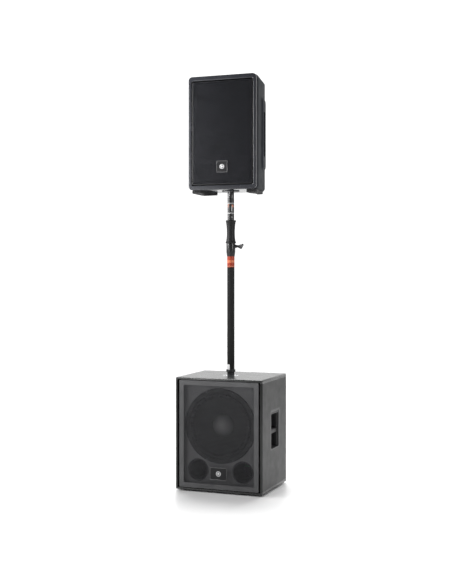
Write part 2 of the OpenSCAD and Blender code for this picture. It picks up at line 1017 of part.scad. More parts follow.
module pole_upper_tube() {
    color([0.45, 0.45, 0.46])
        translate([0, pole_y, upper_bottom])
            ring(upper_r, upper_r - tube_wall, upper_top - upper_bottom);
}

// Printed sleeve around the upper tube, just above the grip
module pole_upper_wrap() {
    color([0.06, 0.06, 0.06])
        translate([0, pole_y, grip_z1 - 4])
            ring(upper_r + 0.3, upper_r, 121);
}

// Plug in the bottom of the upper tube; its skirt runs in the lower tube
module pole_guide_bush() {
    color([0.8, 0.8, 0.78])
        translate([0, pole_y, upper_bottom - 16]) {
            cylinder(r = lower_bore_r - 0.07, h = 16);
            translate([0, 0, 16])
                cylinder(r = upper_r - tube_wall, h = 24);
        }
}

// ---- Top speaker ----

module spk_front_bezel() {
    inner_w = spk_w - 2 * spk_rim_w;
    inner_h = spk_h - 2 * spk_rim_h;
    neck = 6;
    color(plastic_black)
        difference() {
            union() {
                to_front(0, spk_y0 + bezel_t, spk_mid_z)
                    round_slab(spk_w, spk_h, spk_corner_r, bezel_t);
                to_front(0, shell_y0 + 12, spk_mid_z)
                    round_slab(spk_w - 2 * neck, spk_h - 2 * neck, spk_corner_r - neck, neck_t + 12 + past);
            }
            // seat of the grille and its foam
            to_front(0, spk_baffle_y, spk_mid_z)
                round_slab(inner_w, inner_h, 8, 24 + past);
            // hollow behind the baffle
            to_front(0, shell_y0 + 12 + past, spk_mid_z)
                round_slab(
                    inner_w - 4, inner_h - 4, 8, shell_y0 + 12 + past - (spk_baffle_y + 5)
                );
            to_front(0, spk_baffle_y, spk_woofer_z) {
                translate([0, 0, -20])
                    cylinder(r = spk_woofer_hole_r, h = 40);
                translate([0, 0, 6])
                    screw_holes(circle_points(spk_woofer_r - 7, 8, 22.5));
            }
            to_front(0, spk_baffle_y, horn_z)
                translate([0, 0, -20])
                    round_slab(horn_w - 16, horn_h - 16, 12, 40);
        }
}

// Moulded body without its hollow: straight behind the bezel, then narrowing to the back
shell_back_r = 20;

module shell_block(inset) {
    straight = taper_y0 - shell_y0;
    to_front(0, taper_y0, spk_mid_z)
        round_slab(
            spk_w - 2 * inset, spk_h - 2 * inset, spk_corner_r - inset, straight + (inset > 0 ? past : 0)
        );
    hull() {
        to_front(0, taper_y0 + 0.1, spk_mid_z)
            round_slab(spk_w - 2 * inset, spk_h - 2 * inset, spk_corner_r - inset, 0.1, $fn = 48);
        to_front(0, taper_y1, spk_mid_z)
            round_slab(taper_w1 - 2 * inset, spk_h - 2 * inset, shell_back_r - inset, 0.1, $fn = 48);
    }
    hull() {
        to_front(0, taper_y1, spk_mid_z)
            round_slab(taper_w1 - 2 * inset, spk_h - 2 * inset, shell_back_r - inset, 0.1, $fn = 48);
        to_front(0, spk_back_y - inset, spk_mid_z)
            round_slab(spk_back_w - 2 * inset, spk_h - 56 - 2 * inset, shell_back_r - inset, 0.1, $fn = 48);
    }
}

// A place on the right-hand tapered wall: +Z outwards, +X towards the back
module on_right_wall() {
    mid_y = grip_hole_y0 + grip_hole_w / 2;
    wall_x = spk_w / 2 - (mid_y - taper_y0) * tan(taper);
    translate([wall_x, mid_y, grip_hole_z])
        rotate([90, 0, 90 + taper])
            children();
}

insert_points = [for (x = [-1, 1]) [x * 90, spk_y0 + 130]];
insert_r = 9;
insert_len = 24;

module spk_rear_shell() {
    color(plastic_black)
        difference() {
            shell_block(0);
            shell_block(spk_wall);
            for (s = [0, 1])
                mirror([s, 0, 0])
                    on_right_wall()
                        translate([0, 0, -12])
                            round_slab(grip_hole_w, grip_hole_h, 14, 30);
            to_back(0, spk_back_y, spk_amp_z)
                translate([0, 0, -10])
                    round_slab(spk_amp_w - 24, spk_amp_h - 24, 6, 20);
            to_back(0, spk_back_y + amp_plate_t, spk_amp_z)
                screw_holes(frame_points(spk_amp_w - 16, spk_amp_h - 16, 3, 4));
            translate([0, pole_y, spk_z0 - past])
                cylinder(r = cup_r, h = 2 * spk_wall);
            for (p = insert_points)
                translate([p[0], p[1], spk_z0 + spk_h - 10])
                    cylinder(r = insert_r, h = 20);
        }
}

module spk_grille() {
    color([0.12, 0.12, 0.13])
        to_front(0, spk_y0 + 3.2, spk_mid_z)
            round_slab(spk_w - 2 * spk_rim_w - 1, spk_h - 2 * spk_rim_h - 1, 8, grille_t);
}

module spk_grille_foam() {
    color([0.05, 0.05, 0.05])
        to_front(0, spk_y0 + 8.2, spk_mid_z)
            round_slab(spk_w - 2 * spk_rim_w - 2, spk_h - 2 * spk_rim_h - 2, 8, 5);
}

module spk_badge() {
    color([0.35, 0.35, 0.36])
        to_front(0, spk_y0 + 2, spk_z0 + 119)
            badge(60, 60);
}

module spk_woofer_basket() {
    color([0.12, 0.12, 0.13])
        to_front(0, spk_baffle_y, spk_woofer_z)
            driver_basket(
                spk_woofer_r, spk_woofer_hole_r, spk_woofer_depth, spk_coil_r, spk_cone_r + 12, 76, 8
            );
}

module spk_woofer_motor() {
    color([0.3, 0.3, 0.32])
        to_front(0, spk_baffle_y, spk_woofer_z)
            driver_motor(spk_coil_r, 76, spk_woofer_depth, 20);
}

module spk_woofer_surround() {
    color(rubber_black)
        to_front(0, spk_baffle_y, spk_woofer_z)
            driver_surround(spk_cone_r, 7);
}

// Cone with its dust cap, coil former and coil
module spk_woofer_cone() {
    color([0.1, 0.1, 0.1])
        to_front(0, spk_baffle_y, spk_woofer_z) {
            driver_cone(spk_cone_r, spk_coil_r + 0.7, 48);
            driver_cap(46, 14, -33);
            driver_coil(spk_coil_r, -43, -98);
        }
}

// Rectangular waveguide that narrows to the driver's round exit
module horn_cavity(inset) {
    for (i = [0:2]) {
        a = i / 3;
        b = (i + 1) / 3;
        hull() {
            horn_section(a, inset);
            horn_section(b, inset);
        }
    }
}

module horn_section(t, inset) {
    k = pow(1 - t, 1.6);
    w = 32 + (horn_w - 50 - 32) * k;
    h = 32 + (horn_h - 40 - 32) * k;
    translate([0, 0, -(horn_depth - 1) * t])
        round_slab(w + 2 * inset, h + 2 * inset, 12 + inset, 1, $fn = 32);
}

module spk_horn() {
    wall = 3;
    color([0.07, 0.07, 0.07])
        to_front(0, spk_baffle_y, horn_z)
            difference() {
                union() {
                    round_slab(horn_w, horn_h, 14, 4);
                    horn_cavity(wall);
                }
                translate([0, 0, 0.5])
                    horn_cavity(0);
                translate([0, 0, -0.5])
                    round_slab(horn_w - 50, horn_h - 40, 12, 6);
                translate([0, 0, -horn_depth - past])
                    cylinder(r = 12.5, h = 20);
            }
}

module spk_horn_driver() {
    color([0.28, 0.28, 0.3])
        to_front(0, spk_baffle_y, horn_z)
            translate([0, 0, -horn_depth - 52])
                difference() {
                    union() {
                        cylinder(r = 50, h = 34);
                        translate([0, 0, 34])
                            cylinder(r = 38, h = 18);
                    }
                    translate([0, 0, 40])
                        cylinder(r = 12.5, h = 20);
                }
}

module spk_pole_cup() {
    flange_r = 46;
    color([0.1, 0.1, 0.1])
        translate([0, pole_y, spk_z0])
            difference() {
                union() {
                    translate([0, 0, -4])
                        cylinder(r = flange_r, h = 4);
                    cylinder(r = cup_r, h = cup_depth + 5);
                }
                translate([0, 0, -4 - past])
                    cylinder(r = upper_r + gap, h = cup_depth + 4 + past + 0.3);
            }
}

// Feet under the body: a broad ribbed pad at each front corner, and a narrow rail that
// follows the tapered side to the back
module spk_foot_rails() {
    rail_len = 232;
    pad_in = 125;
    pad_len = 50;
    pad_out = spk_w / 2 - 9;
    rail_w = 12;
    back_out = pad_out - (rail_len - 19) * tan(taper);
    color(rubber_black)
        for (s = [0, 1])
            mirror([s, 0, 0])
                translate([0, spk_y0 + 22, spk_z0])
                    difference() {
                        intersection() {
                            translate([0, 0, -rail_h])
                                linear_extrude(rail_h)
                                    polygon([
                                        [pad_in, 6], [pad_in + 6, 0], [pad_out - 6, 0],
                                        [pad_out, 6], [pad_out, 19], [back_out, rail_len],
                                        [back_out - rail_w, rail_len], [pad_in + 26, pad_len + 34],
                                        [pad_in, pad_len]
                                    ]);
                            rotate([90, 0, 90])
                                linear_extrude(spk_w)
                                    polygon([
                                        [-past, past], [-past, -11], [5, -15], [95, -rail_h],
                                        [125, -rail_h], [rail_len, -12], [rail_len + past, past]
                                    ]);
                        }
                        for (i = [1:4])
                            translate([pad_in + i * 10.8, -past, -rail_h - past])
                                cube([3, 5, rail_h + past - 2]);
                        for (i = [1:7])
                            translate([pad_in - past, 18 + i * 24, -rail_h - past])
                                cube([70, 3, rail_h + past - 9]);
                    }
}

// Liners of the side handles: a raised pad around a pocket that opens outwards and runs
// back behind the wall
module spk_handle_grips() {
    wall = 3;
    deep = 44;
    reach = 26;
    pad_w = 114;
    pad_h = 392;
    pad_t = 8;
    pad_back = 6;
    pad_lift = 0.05;
    color([0.05, 0.05, 0.055])
        for (s = [0, 1])
            mirror([s, 0, 0])
                on_right_wall()
                    difference() {
                        union() {
                            translate([0, 0, -spk_wall])
                                round_slab(grip_hole_w, grip_hole_h, 14, spk_wall);
                            translate([reach / 2, 0, -deep])
                                round_slab(
                                    grip_hole_w + reach + 2 * wall, grip_hole_h + 2 * wall, 14,
                                    deep - spk_wall - 1.5
                                );
                            translate([0, 0, -spk_wall - 1.5])
                                round_slab(grip_hole_w, grip_hole_h, 14, 1.5);
                            hull() {
                                translate([pad_back, 0, pad_lift])
                                    round_slab(pad_w, pad_h, 24, 1, $fn = 32);
                                translate([pad_back, 0, pad_t - 1])
                                    round_slab(pad_w - 18, pad_h - 30, 20, 1, $fn = 32);
                            }
                        }
                        translate([0, 0, -20])
                            round_slab(grip_hole_w - 2 * wall, grip_hole_h - 2 * wall, 11, 30);
                        translate([reach / 2, 0, -deep + wall])
                            round_slab(
                                grip_hole_w + reach, grip_hole_h, 12, deep - spk_wall - 1.5 - 2 * wall
                            );
                    }
}

spk_fins = [for (i = [0:9]) [-72 + 16 * i, -75, 105]];

module spk_amp_plate() {
    color([0.13, 0.13, 0.135])
        to_back(0, spk_back_y, spk_amp_z)
            amp_plate(
                spk_amp_w, spk_amp_h,
                [for (x = spk_xlr_xs) [-x, spk_xlr_row_z - spk_amp_z]],
                [for (x = spk_knob_xs) [-x, spk_knob_row_z - spk_amp_z]],
                [],
                [on_plate(spk_rocker, spk_amp_z)],
                [on_plate(spk_inlet, spk_amp_z)],
                spk_fins
            );
}

module spk_amp_electronics() {
    color([0.1, 0.35, 0.18])
        to_back(0, spk_back_y, spk_amp_z)
            amp_board(spk_amp_w - 40, spk_amp_h - 50, 48);
}

module spk_sockets() {
    color([0.2, 0.2, 0.21])
        to_back(0, spk_back_y + amp_plate_t, 0) {
            for (x = spk_xlr_xs)
                translate([-x, spk_xlr_row_z, 0])
                    signal_socket();
            translate([-spk_inlet[0], spk_inlet[1], 0])
                mains_inlet();
        }
}

module spk_knob(i, r) {
    color([0.1, 0.1, 0.1])
        to_back(spk_knob_xs[i], spk_back_y + amp_plate_t, spk_knob_row_z)
            knob(r, 14);
}

module spk_input_knob_1() {
    spk_knob(0, 9);
}

module spk_input_knob_2() {
    spk_knob(1, 9);
}

module spk_main_knob() {
    spk_knob(2, 12);
}

module spk_power_switch() {
    color([0.08, 0.08, 0.08])
        to_back(spk_rocker[0], spk_back_y + amp_plate_t, spk_rocker[1])
            rocker();
}

// Screws of the woofer and the amplifier, and the two threaded suspension inserts
module spk_fasteners() {
    insert_bore = 4.25;
    color([0.15, 0.15, 0.15]) {
        to_front(0, spk_baffle_y - 6, spk_woofer_z)
            screws(circle_points(spk_woofer_r - 7, 8, 22.5));
        to_back(0, spk_back_y + amp_plate_t, spk_amp_z)
            screws(frame_points(spk_amp_w - 16, spk_amp_h - 16, 3, 4));
    }
    color([0.6, 0.6, 0.6])
        for (p = insert_points)
            translate([p[0], p[1], spk_z0 + spk_h - insert_len])
                difference() {
                    cylinder(r = insert_r, h = insert_len);
                    translate([0, 0, 2])
                        cylinder(r = insert_bore, h = insert_len);
                }
}

sub_top_panel();
sub_bottom_panel();
sub_left_panel();
sub_right_panel();
sub_back_panel();
sub_baffle();
sub_front_frame();
sub_grille();
sub_badge();
sub_woofer_basket();
sub_woofer_motor();
sub_woofer_surround();
sub_woofer_spider();
sub_woofer_cone();
sub_dust_cap();
sub_voice_coil();
sub_port_tubes();
sub_handle_left();
sub_handle_right();
sub_pole_socket();
sub_feet();
sub_amp_plate();
sub_amp_electronics();
sub_sockets();
sub_level_knob();
sub_power_switch();
sub_button();
sub_fasteners();
pole_foot();
pole_lower_tube();
pole_lower_wraps();
pole_clutch_housing();
pole_collet();
pole_grip();
pole_lock_knob();
pole_upper_tube();
pole_upper_wrap();
pole_guide_bush();
spk_front_bezel();
spk_rear_shell();
spk_grille();
spk_grille_foam();
spk_badge();
spk_woofer_basket();
spk_woofer_motor();
spk_woofer_surround();
spk_woofer_cone();
spk_horn();
spk_horn_driver();
spk_pole_cup();
spk_foot_rails();
spk_handle_grips();
spk_amp_plate();
spk_amp_electronics();
spk_sockets();
spk_main_knob();
spk_input_knob_1();
spk_input_knob_2();
spk_power_switch();
spk_fasteners();
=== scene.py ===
import json
from math import cos, pi, radians, sin, sqrt

import bmesh
import bpy
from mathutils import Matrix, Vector


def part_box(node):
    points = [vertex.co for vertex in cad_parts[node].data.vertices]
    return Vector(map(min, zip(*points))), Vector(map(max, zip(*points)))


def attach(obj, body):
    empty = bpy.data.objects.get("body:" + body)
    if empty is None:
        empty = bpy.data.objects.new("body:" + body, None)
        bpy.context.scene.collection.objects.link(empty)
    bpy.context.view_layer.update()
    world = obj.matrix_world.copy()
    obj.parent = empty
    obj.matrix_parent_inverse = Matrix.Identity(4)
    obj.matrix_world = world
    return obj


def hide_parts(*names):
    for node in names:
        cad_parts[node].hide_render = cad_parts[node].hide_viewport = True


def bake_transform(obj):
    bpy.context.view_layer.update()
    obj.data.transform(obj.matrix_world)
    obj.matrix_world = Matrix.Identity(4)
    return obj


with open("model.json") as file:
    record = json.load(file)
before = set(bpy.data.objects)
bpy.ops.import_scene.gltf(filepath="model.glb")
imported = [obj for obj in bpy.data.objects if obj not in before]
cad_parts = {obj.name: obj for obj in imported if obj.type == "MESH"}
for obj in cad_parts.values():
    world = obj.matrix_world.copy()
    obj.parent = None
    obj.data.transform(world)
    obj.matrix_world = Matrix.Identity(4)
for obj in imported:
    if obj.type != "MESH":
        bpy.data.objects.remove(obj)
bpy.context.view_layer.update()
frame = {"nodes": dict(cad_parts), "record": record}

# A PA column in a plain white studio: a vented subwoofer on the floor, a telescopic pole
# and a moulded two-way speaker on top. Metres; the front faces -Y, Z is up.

MM = 0.001
BEZEL_RIM = 12 * MM  # depth of the bezel's rim, from its front
WELD_WITHIN = 0.001 * MM  # points of a built mesh closer than this are one
GRILLE_WEB = 1.1 * MM  # steel left between two holes
GRILLE_ROLL = 8 * MM  # width of the border rolled back round the top speaker's grille
nodes = frame["nodes"]
scene = bpy.context.scene


# ---- Materials -------------------------------------------------------------------------


class Finish:
    """A Principled material being built. Its texture space is the object's own, in metres."""

    def __init__(self, name, colour, rough, specular=0.5, metallic=0.0):
        self.material = bpy.data.materials.new(name)
        self.material.use_nodes = True
        self.tree = self.material.node_tree
        self.shader = self.tree.nodes["Principled BSDF"]
        self.place = self.node("ShaderNodeTexCoord").outputs["Object"]
        self.colour = (*colour, 1.0)
        self.set("Base Color", self.colour)
        self.set("Roughness", rough)
        self.set("Specular IOR Level", specular)
        self.set("Metallic", metallic)
        self.heights = None

    def node(self, kind, **settings):
        made = self.tree.nodes.new(kind)
        for key, value in settings.items():
            setattr(made, key, value)
        return made

    def set(self, socket, value):
        self.shader.inputs[socket].default_value = value

    def put(self, value, socket):
        """A number or colour, or another node's output, into a socket."""
        if isinstance(value, bpy.types.NodeSocket):
            self.tree.links.new(value, socket)
        elif isinstance(value, (tuple, list)) and len(value) == 3 and socket.type == "RGBA":
            socket.default_value = (*value, 1.0)
        else:
            socket.default_value = value

    def stretched(self, stretch):
        if stretch == (1, 1, 1):
            return self.place
        mapping = self.node("ShaderNodeMapping")
        self.put(self.place, mapping.inputs["Vector"])
        self.put(stretch, mapping.inputs["Scale"])
        return mapping.outputs["Vector"]

    def noise(self, size, detail=3.0, stretch=(1, 1, 1), roughness=0.55):
        """Noise from 0 to 1 whose features are about size metres across."""
        made = self.node("ShaderNodeTexNoise")
        self.put(self.stretched(stretch), made.inputs["Vector"])
        self.put(0.5 / size, made.inputs["Scale"])
        self.put(detail, made.inputs["Detail"])
        self.put(roughness, made.inputs["Roughness"])
        return made.outputs["Fac"]

    def cells(self, size, stretch=(1, 1, 1), feature="F1"):
        """Distance from the middle of round cells size metres across."""
        made = self.node("ShaderNodeTexVoronoi", feature=feature)
        self.put(self.stretched(stretch), made.inputs["Vector"])
        self.put(1.0 / size, made.inputs["Scale"])
        return made.outputs["Distance"]

    def spread(self, value, low, high, out_low=0.0, out_high=1.0):
        """Low to high becomes out_low to out_high, and stays there outside."""
        made = self.node("ShaderNodeMapRange")
        for name, number in zip(
            ("Value", "From Min", "From Max", "To Min", "To Max"),
            (value, low, high, out_low, out_high),
        ):
            self.put(number, made.inputs[name])
        return made.outputs["Result"]

    def math(self, operation, a, b=0.0):
        made = self.node("ShaderNodeMath", operation=operation)
        self.put(a, made.inputs[0])
        self.put(b, made.inputs[1])
        return made.outputs["Value"]

    def mix(self, share, first, second):
        made = self.node("ShaderNodeMix", data_type="RGBA")
        self.put(share, made.inputs["Factor"])
        self.put(first, made.inputs["A"])
        self.put(second, made.inputs["B"])
        return made.outputs["Result"]

    def axis(self, name):
        """The x, y or z of the place, in metres."""
        made = self.node("ShaderNodeSeparateXYZ")
        self.put(self.place, made.inputs["Vector"])
        return made.outputs[name]

    def within(self, value, low, high):
        """1 where the value is between low and high, 0 elsewhere."""
        above = self.math("GREATER_THAN", value, low)
        below = self.math("LESS_THAN", value, high)
        return self.math("MULTIPLY", above, below)

    def vary(self, share, size, tint=(1.0, 1.0, 1.0), detail=4.0, stretch=(1, 1, 1)):
        """The base colour drifts up and down by that share."""
        low = tuple(c * (1 - share) for c in self.colour[:3])
        high = tuple(min(1.0, c * (1 + share) * t) for c, t in zip(self.colour[:3], tint))
        drift = self.spread(self.noise(size, detail, stretch), 0.3, 0.7)
        self.put(self.mix(drift, low, high), self.shader.inputs["Base Color"])
        return self

    def over(self, share, colour):
        """Another colour over what is there, where share is 1."""
        socket = self.shader.inputs["Base Color"]
        below = socket.links[0].from_socket if socket.links else self.colour[:3]
        self.put(self.mix(share, below, colour), socket)
        return self

    def rough(self, size, low, high, stretch=(1, 1, 1)):
        spots = self.noise(size, 4.0, stretch)
        self.put(self.spread(spots, 0.3, 0.7, low, high), self.shader.inputs["Roughness"])
        return self

    def bump(self, height, depth, strength=0.5):
        """Relief of that depth in metres, on top of any there is."""
        made = self.node("ShaderNodeBump")
        self.put(strength, made.inputs["Strength"])
        self.put(depth, made.inputs["Distance"])
        self.put(height, made.inputs["Height"])
        if self.heights is not None:
            self.put(self.heights, made.inputs["Normal"])
        self.heights = made.outputs["Normal"]
        self.put(self.heights, self.shader.inputs["Normal"])
        return self

    def rounded(self, radius):
        """Edges are shaded as if rounded to that radius; the mesh itself stays as it is."""
        made = self.node("ShaderNodeBevel", samples=8)
        self.put(radius, made.inputs["Radius"])
        self.heights = made.outputs["Normal"]
        return self

    def scuffs(self, colour, amount=0.5):
        """Thin pale rub marks, sparse and drawn out along the length."""
        marks = self.noise(14 * MM, 8.0, (1, 1, 0.25), 0.75)
        sparse = self.noise(160 * MM, 2.0)
        both = self.math("MULTIPLY", marks, sparse)
        share = self.spread(both, 0.36, 0.5, 0.0, amount)
        return self.over(share, colour)


def paint_textured(name, rough, specular):
    """Tough black cabinet paint rolled on in fine spatter."""
    f = Finish(name, (0.024, 0.025, 0.025), rough, specular)
    f.vary(0.1, 60 * MM, (1.0, 1.02, 1.02)).rough(25 * MM, rough * 0.88, rough * 1.12)
    f.bump(f.cells(1.5 * MM), 0.12 * MM, 0.25)
    f.bump(f.noise(5 * MM, 5.0), 0.1 * MM, 0.15)
    f.scuffs((0.04, 0.041, 0.043), 0.2)
    return f.material


def side_coat():
    """Duller paint on the subwoofer's sides, painted darker towards the top and lighter low down:
    painted light from the floor.
    """
    f = Finish("side_paint", (0.014, 0.0142, 0.014), 0.42, 0.25)
    f.vary(0.1, 60 * MM, (1.0, 1.02, 1.02)).rough(25 * MM, 0.37, 0.47)
    # Painted light from the floor: the sides are painted lighter low down and darker towards the
    # top.
    f.over(f.spread(f.axis("Z"), 560 * MM, 320 * MM, 0.0, 0.9), (0.034, 0.0345, 0.034))
    f.bump(f.cells(1.5 * MM), 0.12 * MM, 0.25)
    f.bump(f.noise(5 * MM, 5.0), 0.1 * MM, 0.15)
    f.scuffs((0.04, 0.041, 0.043), 0.2)
    return f.material


def paint_smooth(name, colour, rough, specular=0.4):
    f = Finish(name, colour, rough, specular)
    f.vary(0.12, 40 * MM).rough(20 * MM, rough * 0.85, rough * 1.15)
    f.bump(f.noise(2.2 * MM, 4.0), 0.12 * MM, 0.3)
    return f.material


def powder_coat(name, colour, rough, specular=0.4):
    """Sprayed coat with a fine orange-peel skin and lighter rubbed spots."""
    f = Finish(name, colour, rough, specular)
    f.vary(0.15, 30 * MM).rough(12 * MM, rough * 0.8, rough * 1.15)
    f.bump(f.noise(0.9 * MM, 3.0), 0.08 * MM, 0.4)
    f.scuffs(tuple(min(1.0, 1.7 * c) for c in colour), 0.25)
    return f.material


def moulded(name, colour, rough, specular=0.4, grain=0.7 * MM):
    """Injection-moulded plastic with a leather-like grain."""
    f = Finish(name, colour, rough, specular)
    f.vary(0.12, 70 * MM, (1.0, 1.01, 1.04)).rough(30 * MM, rough * 0.88, rough * 1.12)
    f.bump(f.cells(grain, feature="SMOOTH_F1"), 0.12 * MM, 0.4)
    f.bump(f.noise(grain * 6, 4.0), 0.1 * MM, 0.2)
    f.scuffs(tuple(min(1.0, 1.8 * c) for c in colour), 0.3)
    return f.material


def handle_moulding():
    """The subwoofer's handle cups: dark inside, with a painted highlight: lighter at the lips and
    on the bar.
    """
    f = Finish("handle_plastic", (0.016, 0.016, 0.017), 0.45, 0.4)
    f.vary(0.12, 40 * MM).rough(20 * MM, 0.4, 0.5)
    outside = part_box("sub_handle_right")[1].x
    away = f.math("ABSOLUTE", f.axis("X"))
    # Painted highlight: lighter near the outer face, at the lips and on the bar.
    f.over(f.spread(away, outside - 9 * MM, outside - 2 * MM), (0.07, 0.07, 0.072))
    f.bump(f.cells(0.8 * MM, feature="SMOOTH_F1"), 0.12 * MM, 0.4)
    return f.material


def shell_moulding():
    """The top speaker's grained shell; its underside is left smooth."""
    f = Finish("shell_plastic", (0.016, 0.018, 0.021), 0.66, 0.1)
    f.vary(0.12, 70 * MM, (1.0, 1.02, 1.05)).rounded(6 * MM)
    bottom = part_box("spk_rear_shell")[0].z
    grain = f.spread(f.noise(30 * MM, 4.0), 0.3, 0.7, 0.6, 0.72)
    made = f.node("ShaderNodeMix", data_type="FLOAT")
    f.put(f.math("LESS_THAN", f.axis("Z"), bottom + 1.5 * MM), made.inputs["Factor"])
    f.put(grain, made.inputs["A"])
    f.put(0.12, made.inputs["B"])
    f.put(made.outputs["Result"], f.shader.inputs["Roughness"])
    f.bump(f.cells(0.9 * MM, feature="SMOOTH_F1"), 0.08 * MM, 0.3)
    f.bump(f.noise(5 * MM, 4.0), 0.08 * MM, 0.15)
    return f.material


def top_grille_coat():
    """The top speaker's grille. Its rolled-back border is painted near black, which stands
    for the shade of the bezel."""
    f = Finish("top_grille_coat", (0.022, 0.023, 0.028), 0.45, 0.2)
    f.vary(0.15, 30 * MM).rough(12 * MM, 0.36, 0.52)
    f.bump(f.noise(0.9 * MM, 3.0), 0.08 * MM, 0.4)
    lo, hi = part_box("spk_grille")
    field = f.math(
        "MULTIPLY",
        f.within(f.axis("X"), lo.x + GRILLE_ROLL, hi.x - GRILLE_ROLL),
        f.within(f.axis("Z"), lo.z + GRILLE_ROLL, hi.z - GRILLE_ROLL),
    )
    f.over(f.math("SUBTRACT", 1.0, field), (0.0015, 0.0015, 0.0015))
    return f.material


def pole_coat():
    """Smooth satin paint on the lower tube, with faint rubbed lines along it."""
    f = Finish("pole_coat", (0.02, 0.02, 0.02), 0.38, 0.05)
    f.vary(0.12, 50 * MM, stretch=(6, 6, 0.4)).rough(20 * MM, 0.33, 0.43, (6, 6, 0.3))
    f.bump(f.noise(1.2 * MM, 3.0), 0.04 * MM, 0.25)
    return f.material


def bezel_moulding():
    """The bezel's smooth satin rim. What lies behind the rim is painted near black, which
    stands for the shadow in the seam to the shell."""
    f = Finish("bezel_plastic", (0.024, 0.025, 0.029), 0.25, 0.4)
    f.vary(0.1, 70 * MM, (1.0, 1.01, 1.04)).rough(30 * MM, 0.22, 0.28).rounded(7 * MM)
    f.bump(f.cells(0.8 * MM, feature="SMOOTH_F1"), 0.06 * MM, 0.2)
    rim_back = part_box("spk_front_bezel")[0].y + BEZEL_RIM
    f.over(f.math("GREATER_THAN", f.axis("Y"), rim_back), (0.001, 0.001, 0.001))
    return f.material


def rubber(name, colour, rough=0.7, specular=0.3):
    f = Finish(name, colour, rough, specular)
    dust = tuple(min(1.0, 1.8 * c) for c in colour)
    f.vary(0.15, 12 * MM).rough(8 * MM, rough * 0.85, min(1.0, rough * 1.2))
    f.over(f.spread(f.noise(35 * MM, 6.0), 0.52, 0.75, 0.0, 0.5), dust)
    f.bump(f.noise(0.6 * MM, 3.0), 0.1 * MM, 0.35)
    return f.material


def paper(name, colour, specular=0.15, rough=0.85):
    """Pressed fibre pulp: matted fibres and a soft mottle."""
    f = Finish(name, colour, rough, specular)
    f.vary(0.3, 3 * MM, detail=6.0)
    f.bump(f.noise(1.6 * MM, 8.0, (1, 1, 3)), 0.25 * MM, 0.6)
    f.bump(f.noise(0.7 * MM, 6.0, (3, 1, 1)), 0.15 * MM, 0.5)
    return f.material


def cap_paper():
    """The dust cap: painted lighter towards the middle, a painted highlight, and like the cone at
    its edge.
    """
    f = Finish("cap_pulp", (0.022, 0.022, 0.023), 0.6, 0.3)
    lo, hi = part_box("sub_dust_cap")
    x = f.math("SUBTRACT", f.axis("X"), (lo.x + hi.x) / 2)
    z = f.math("SUBTRACT", f.axis("Z"), (lo.z + hi.z) / 2)
    away = f.math("SQRT", f.math("ADD", f.math("MULTIPLY", x, x), f.math("MULTIPLY", z, z)))
    f.vary(0.2, 3 * MM, detail=6.0)
    # Painted highlight: lighter towards the middle of the dust cap.
    f.over(f.spread(away, (hi.x - lo.x) / 2, 10 * MM), (0.13, 0.13, 0.133))
    f.bump(f.noise(1.6 * MM, 6.0), 0.2 * MM, 0.5)
    return f.material


def cloth(name, colour):
    """Cotton net stiffened with resin."""
    f = Finish(name, colour, 0.75, 0.2)
    f.vary(0.2, 8 * MM)
    threads = []
    for direction in "XZ":
        wave = f.node("ShaderNodeTexWave", bands_direction=direction)
        f.put(f.place, wave.inputs["Vector"])
        f.put(260.0, wave.inputs["Scale"])
        threads.append(wave.outputs["Fac"])
    weave = f.math("MAXIMUM", *threads)
    dark = tuple(0.45 * c for c in colour)
    f.over(f.spread(weave, 0.55, 0.15), dark)
    f.bump(weave, 0.3 * MM, 0.6)
    return f.material


def metal(name, colour, rough, streak=(1, 1, 14), specular=0.5):
    """Bare or plated metal with the fine lines of its drawing or turning."""
    f = Finish(name, colour, rough, specular, 1.0)
    f.vary(0.08, 1.5 * MM, stretch=streak)
    f.rough(2.5 * MM, rough * 0.8, rough * 1.25, streak)
    f.bump(f.noise(0.5 * MM, 4.0, streak), 0.03 * MM, 0.35)
    f.over(f.spread(f.noise(30 * MM, 7.0), 0.6, 0.8, 0.0, 0.3), tuple(0.6 * c for c in colour))
    return f.material


def ferrite():
    """Plated steel plates with the dark ceramic magnet's fine pits."""
    f = Finish("magnet_and_plates", (0.1, 0.1, 0.105), 0.5, 0.5, 0.6)
    f.vary(0.25, 6 * MM).rough(4 * MM, 0.38, 0.62)
    f.bump(f.cells(2.2 * MM), 0.1 * MM, 0.3)
    f.bump(f.noise(0.6 * MM, 5.0), 0.06 * MM, 0.5)
    return f.material


def copper_winding():
    """Turns of enamelled wire round the coil former, along Y."""
    f = Finish("coil_winding", (0.5, 0.2, 0.09), 0.35, 0.5, 0.9)
    wave = f.node("ShaderNodeTexWave", bands_direction="Y")
    f.put(f.place, wave.inputs["Vector"])
    f.put(600.0, wave.inputs["Scale"])
    f.over(f.spread(wave.outputs["Fac"], 0.4, 0.0), (0.16, 0.05, 0.02))
    f.bump(wave.outputs["Fac"], 0.2 * MM, 0.6)
    return f.material


def circuit_board():
    """Solder mask with tracks and pads, on the parts of the amplifier module."""
    f = Finish("amplifier_board", (0.01, 0.06, 0.028), 0.35, 0.5)
    tracks = f.node("ShaderNodeTexBrick")
    f.put(f.stretched((1, 1, 1)), tracks.inputs["Vector"])
    for name, number in (("Scale", 90.0), ("Mortar Size", 0.03), ("Bias", 0.2)):
        f.put(number, tracks.inputs[name])
    f.put((0.0, 0.0, 0.0), tracks.inputs["Color1"])
    f.put((0.15, 0.15, 0.15), tracks.inputs["Color2"])
    f.put((1.0, 1.0, 1.0), tracks.inputs["Mortar"])
    f.over(tracks.outputs["Color"], (0.06, 0.2, 0.08))
    f.over(f.spread(f.cells(5 * MM), 0.16, 0.12), (0.5, 0.5, 0.48))
    f.bump(tracks.outputs["Color"], 0.1 * MM, 0.5)
    return f.material


def open_foam():
    """Reticulated foam: dark open pores between fine struts."""
    f = Finish("open_cell_foam", (0.012, 0.012, 0.013), 1.0, 0.05)
    pores = f.cells(1.4 * MM)
    f.vary(0.3, 20 * MM)
    f.over(f.spread(pores, 0.35, 0.1), (0.002, 0.002, 0.002))
    f.bump(pores, 0.8 * MM, 0.9)
    return f.material


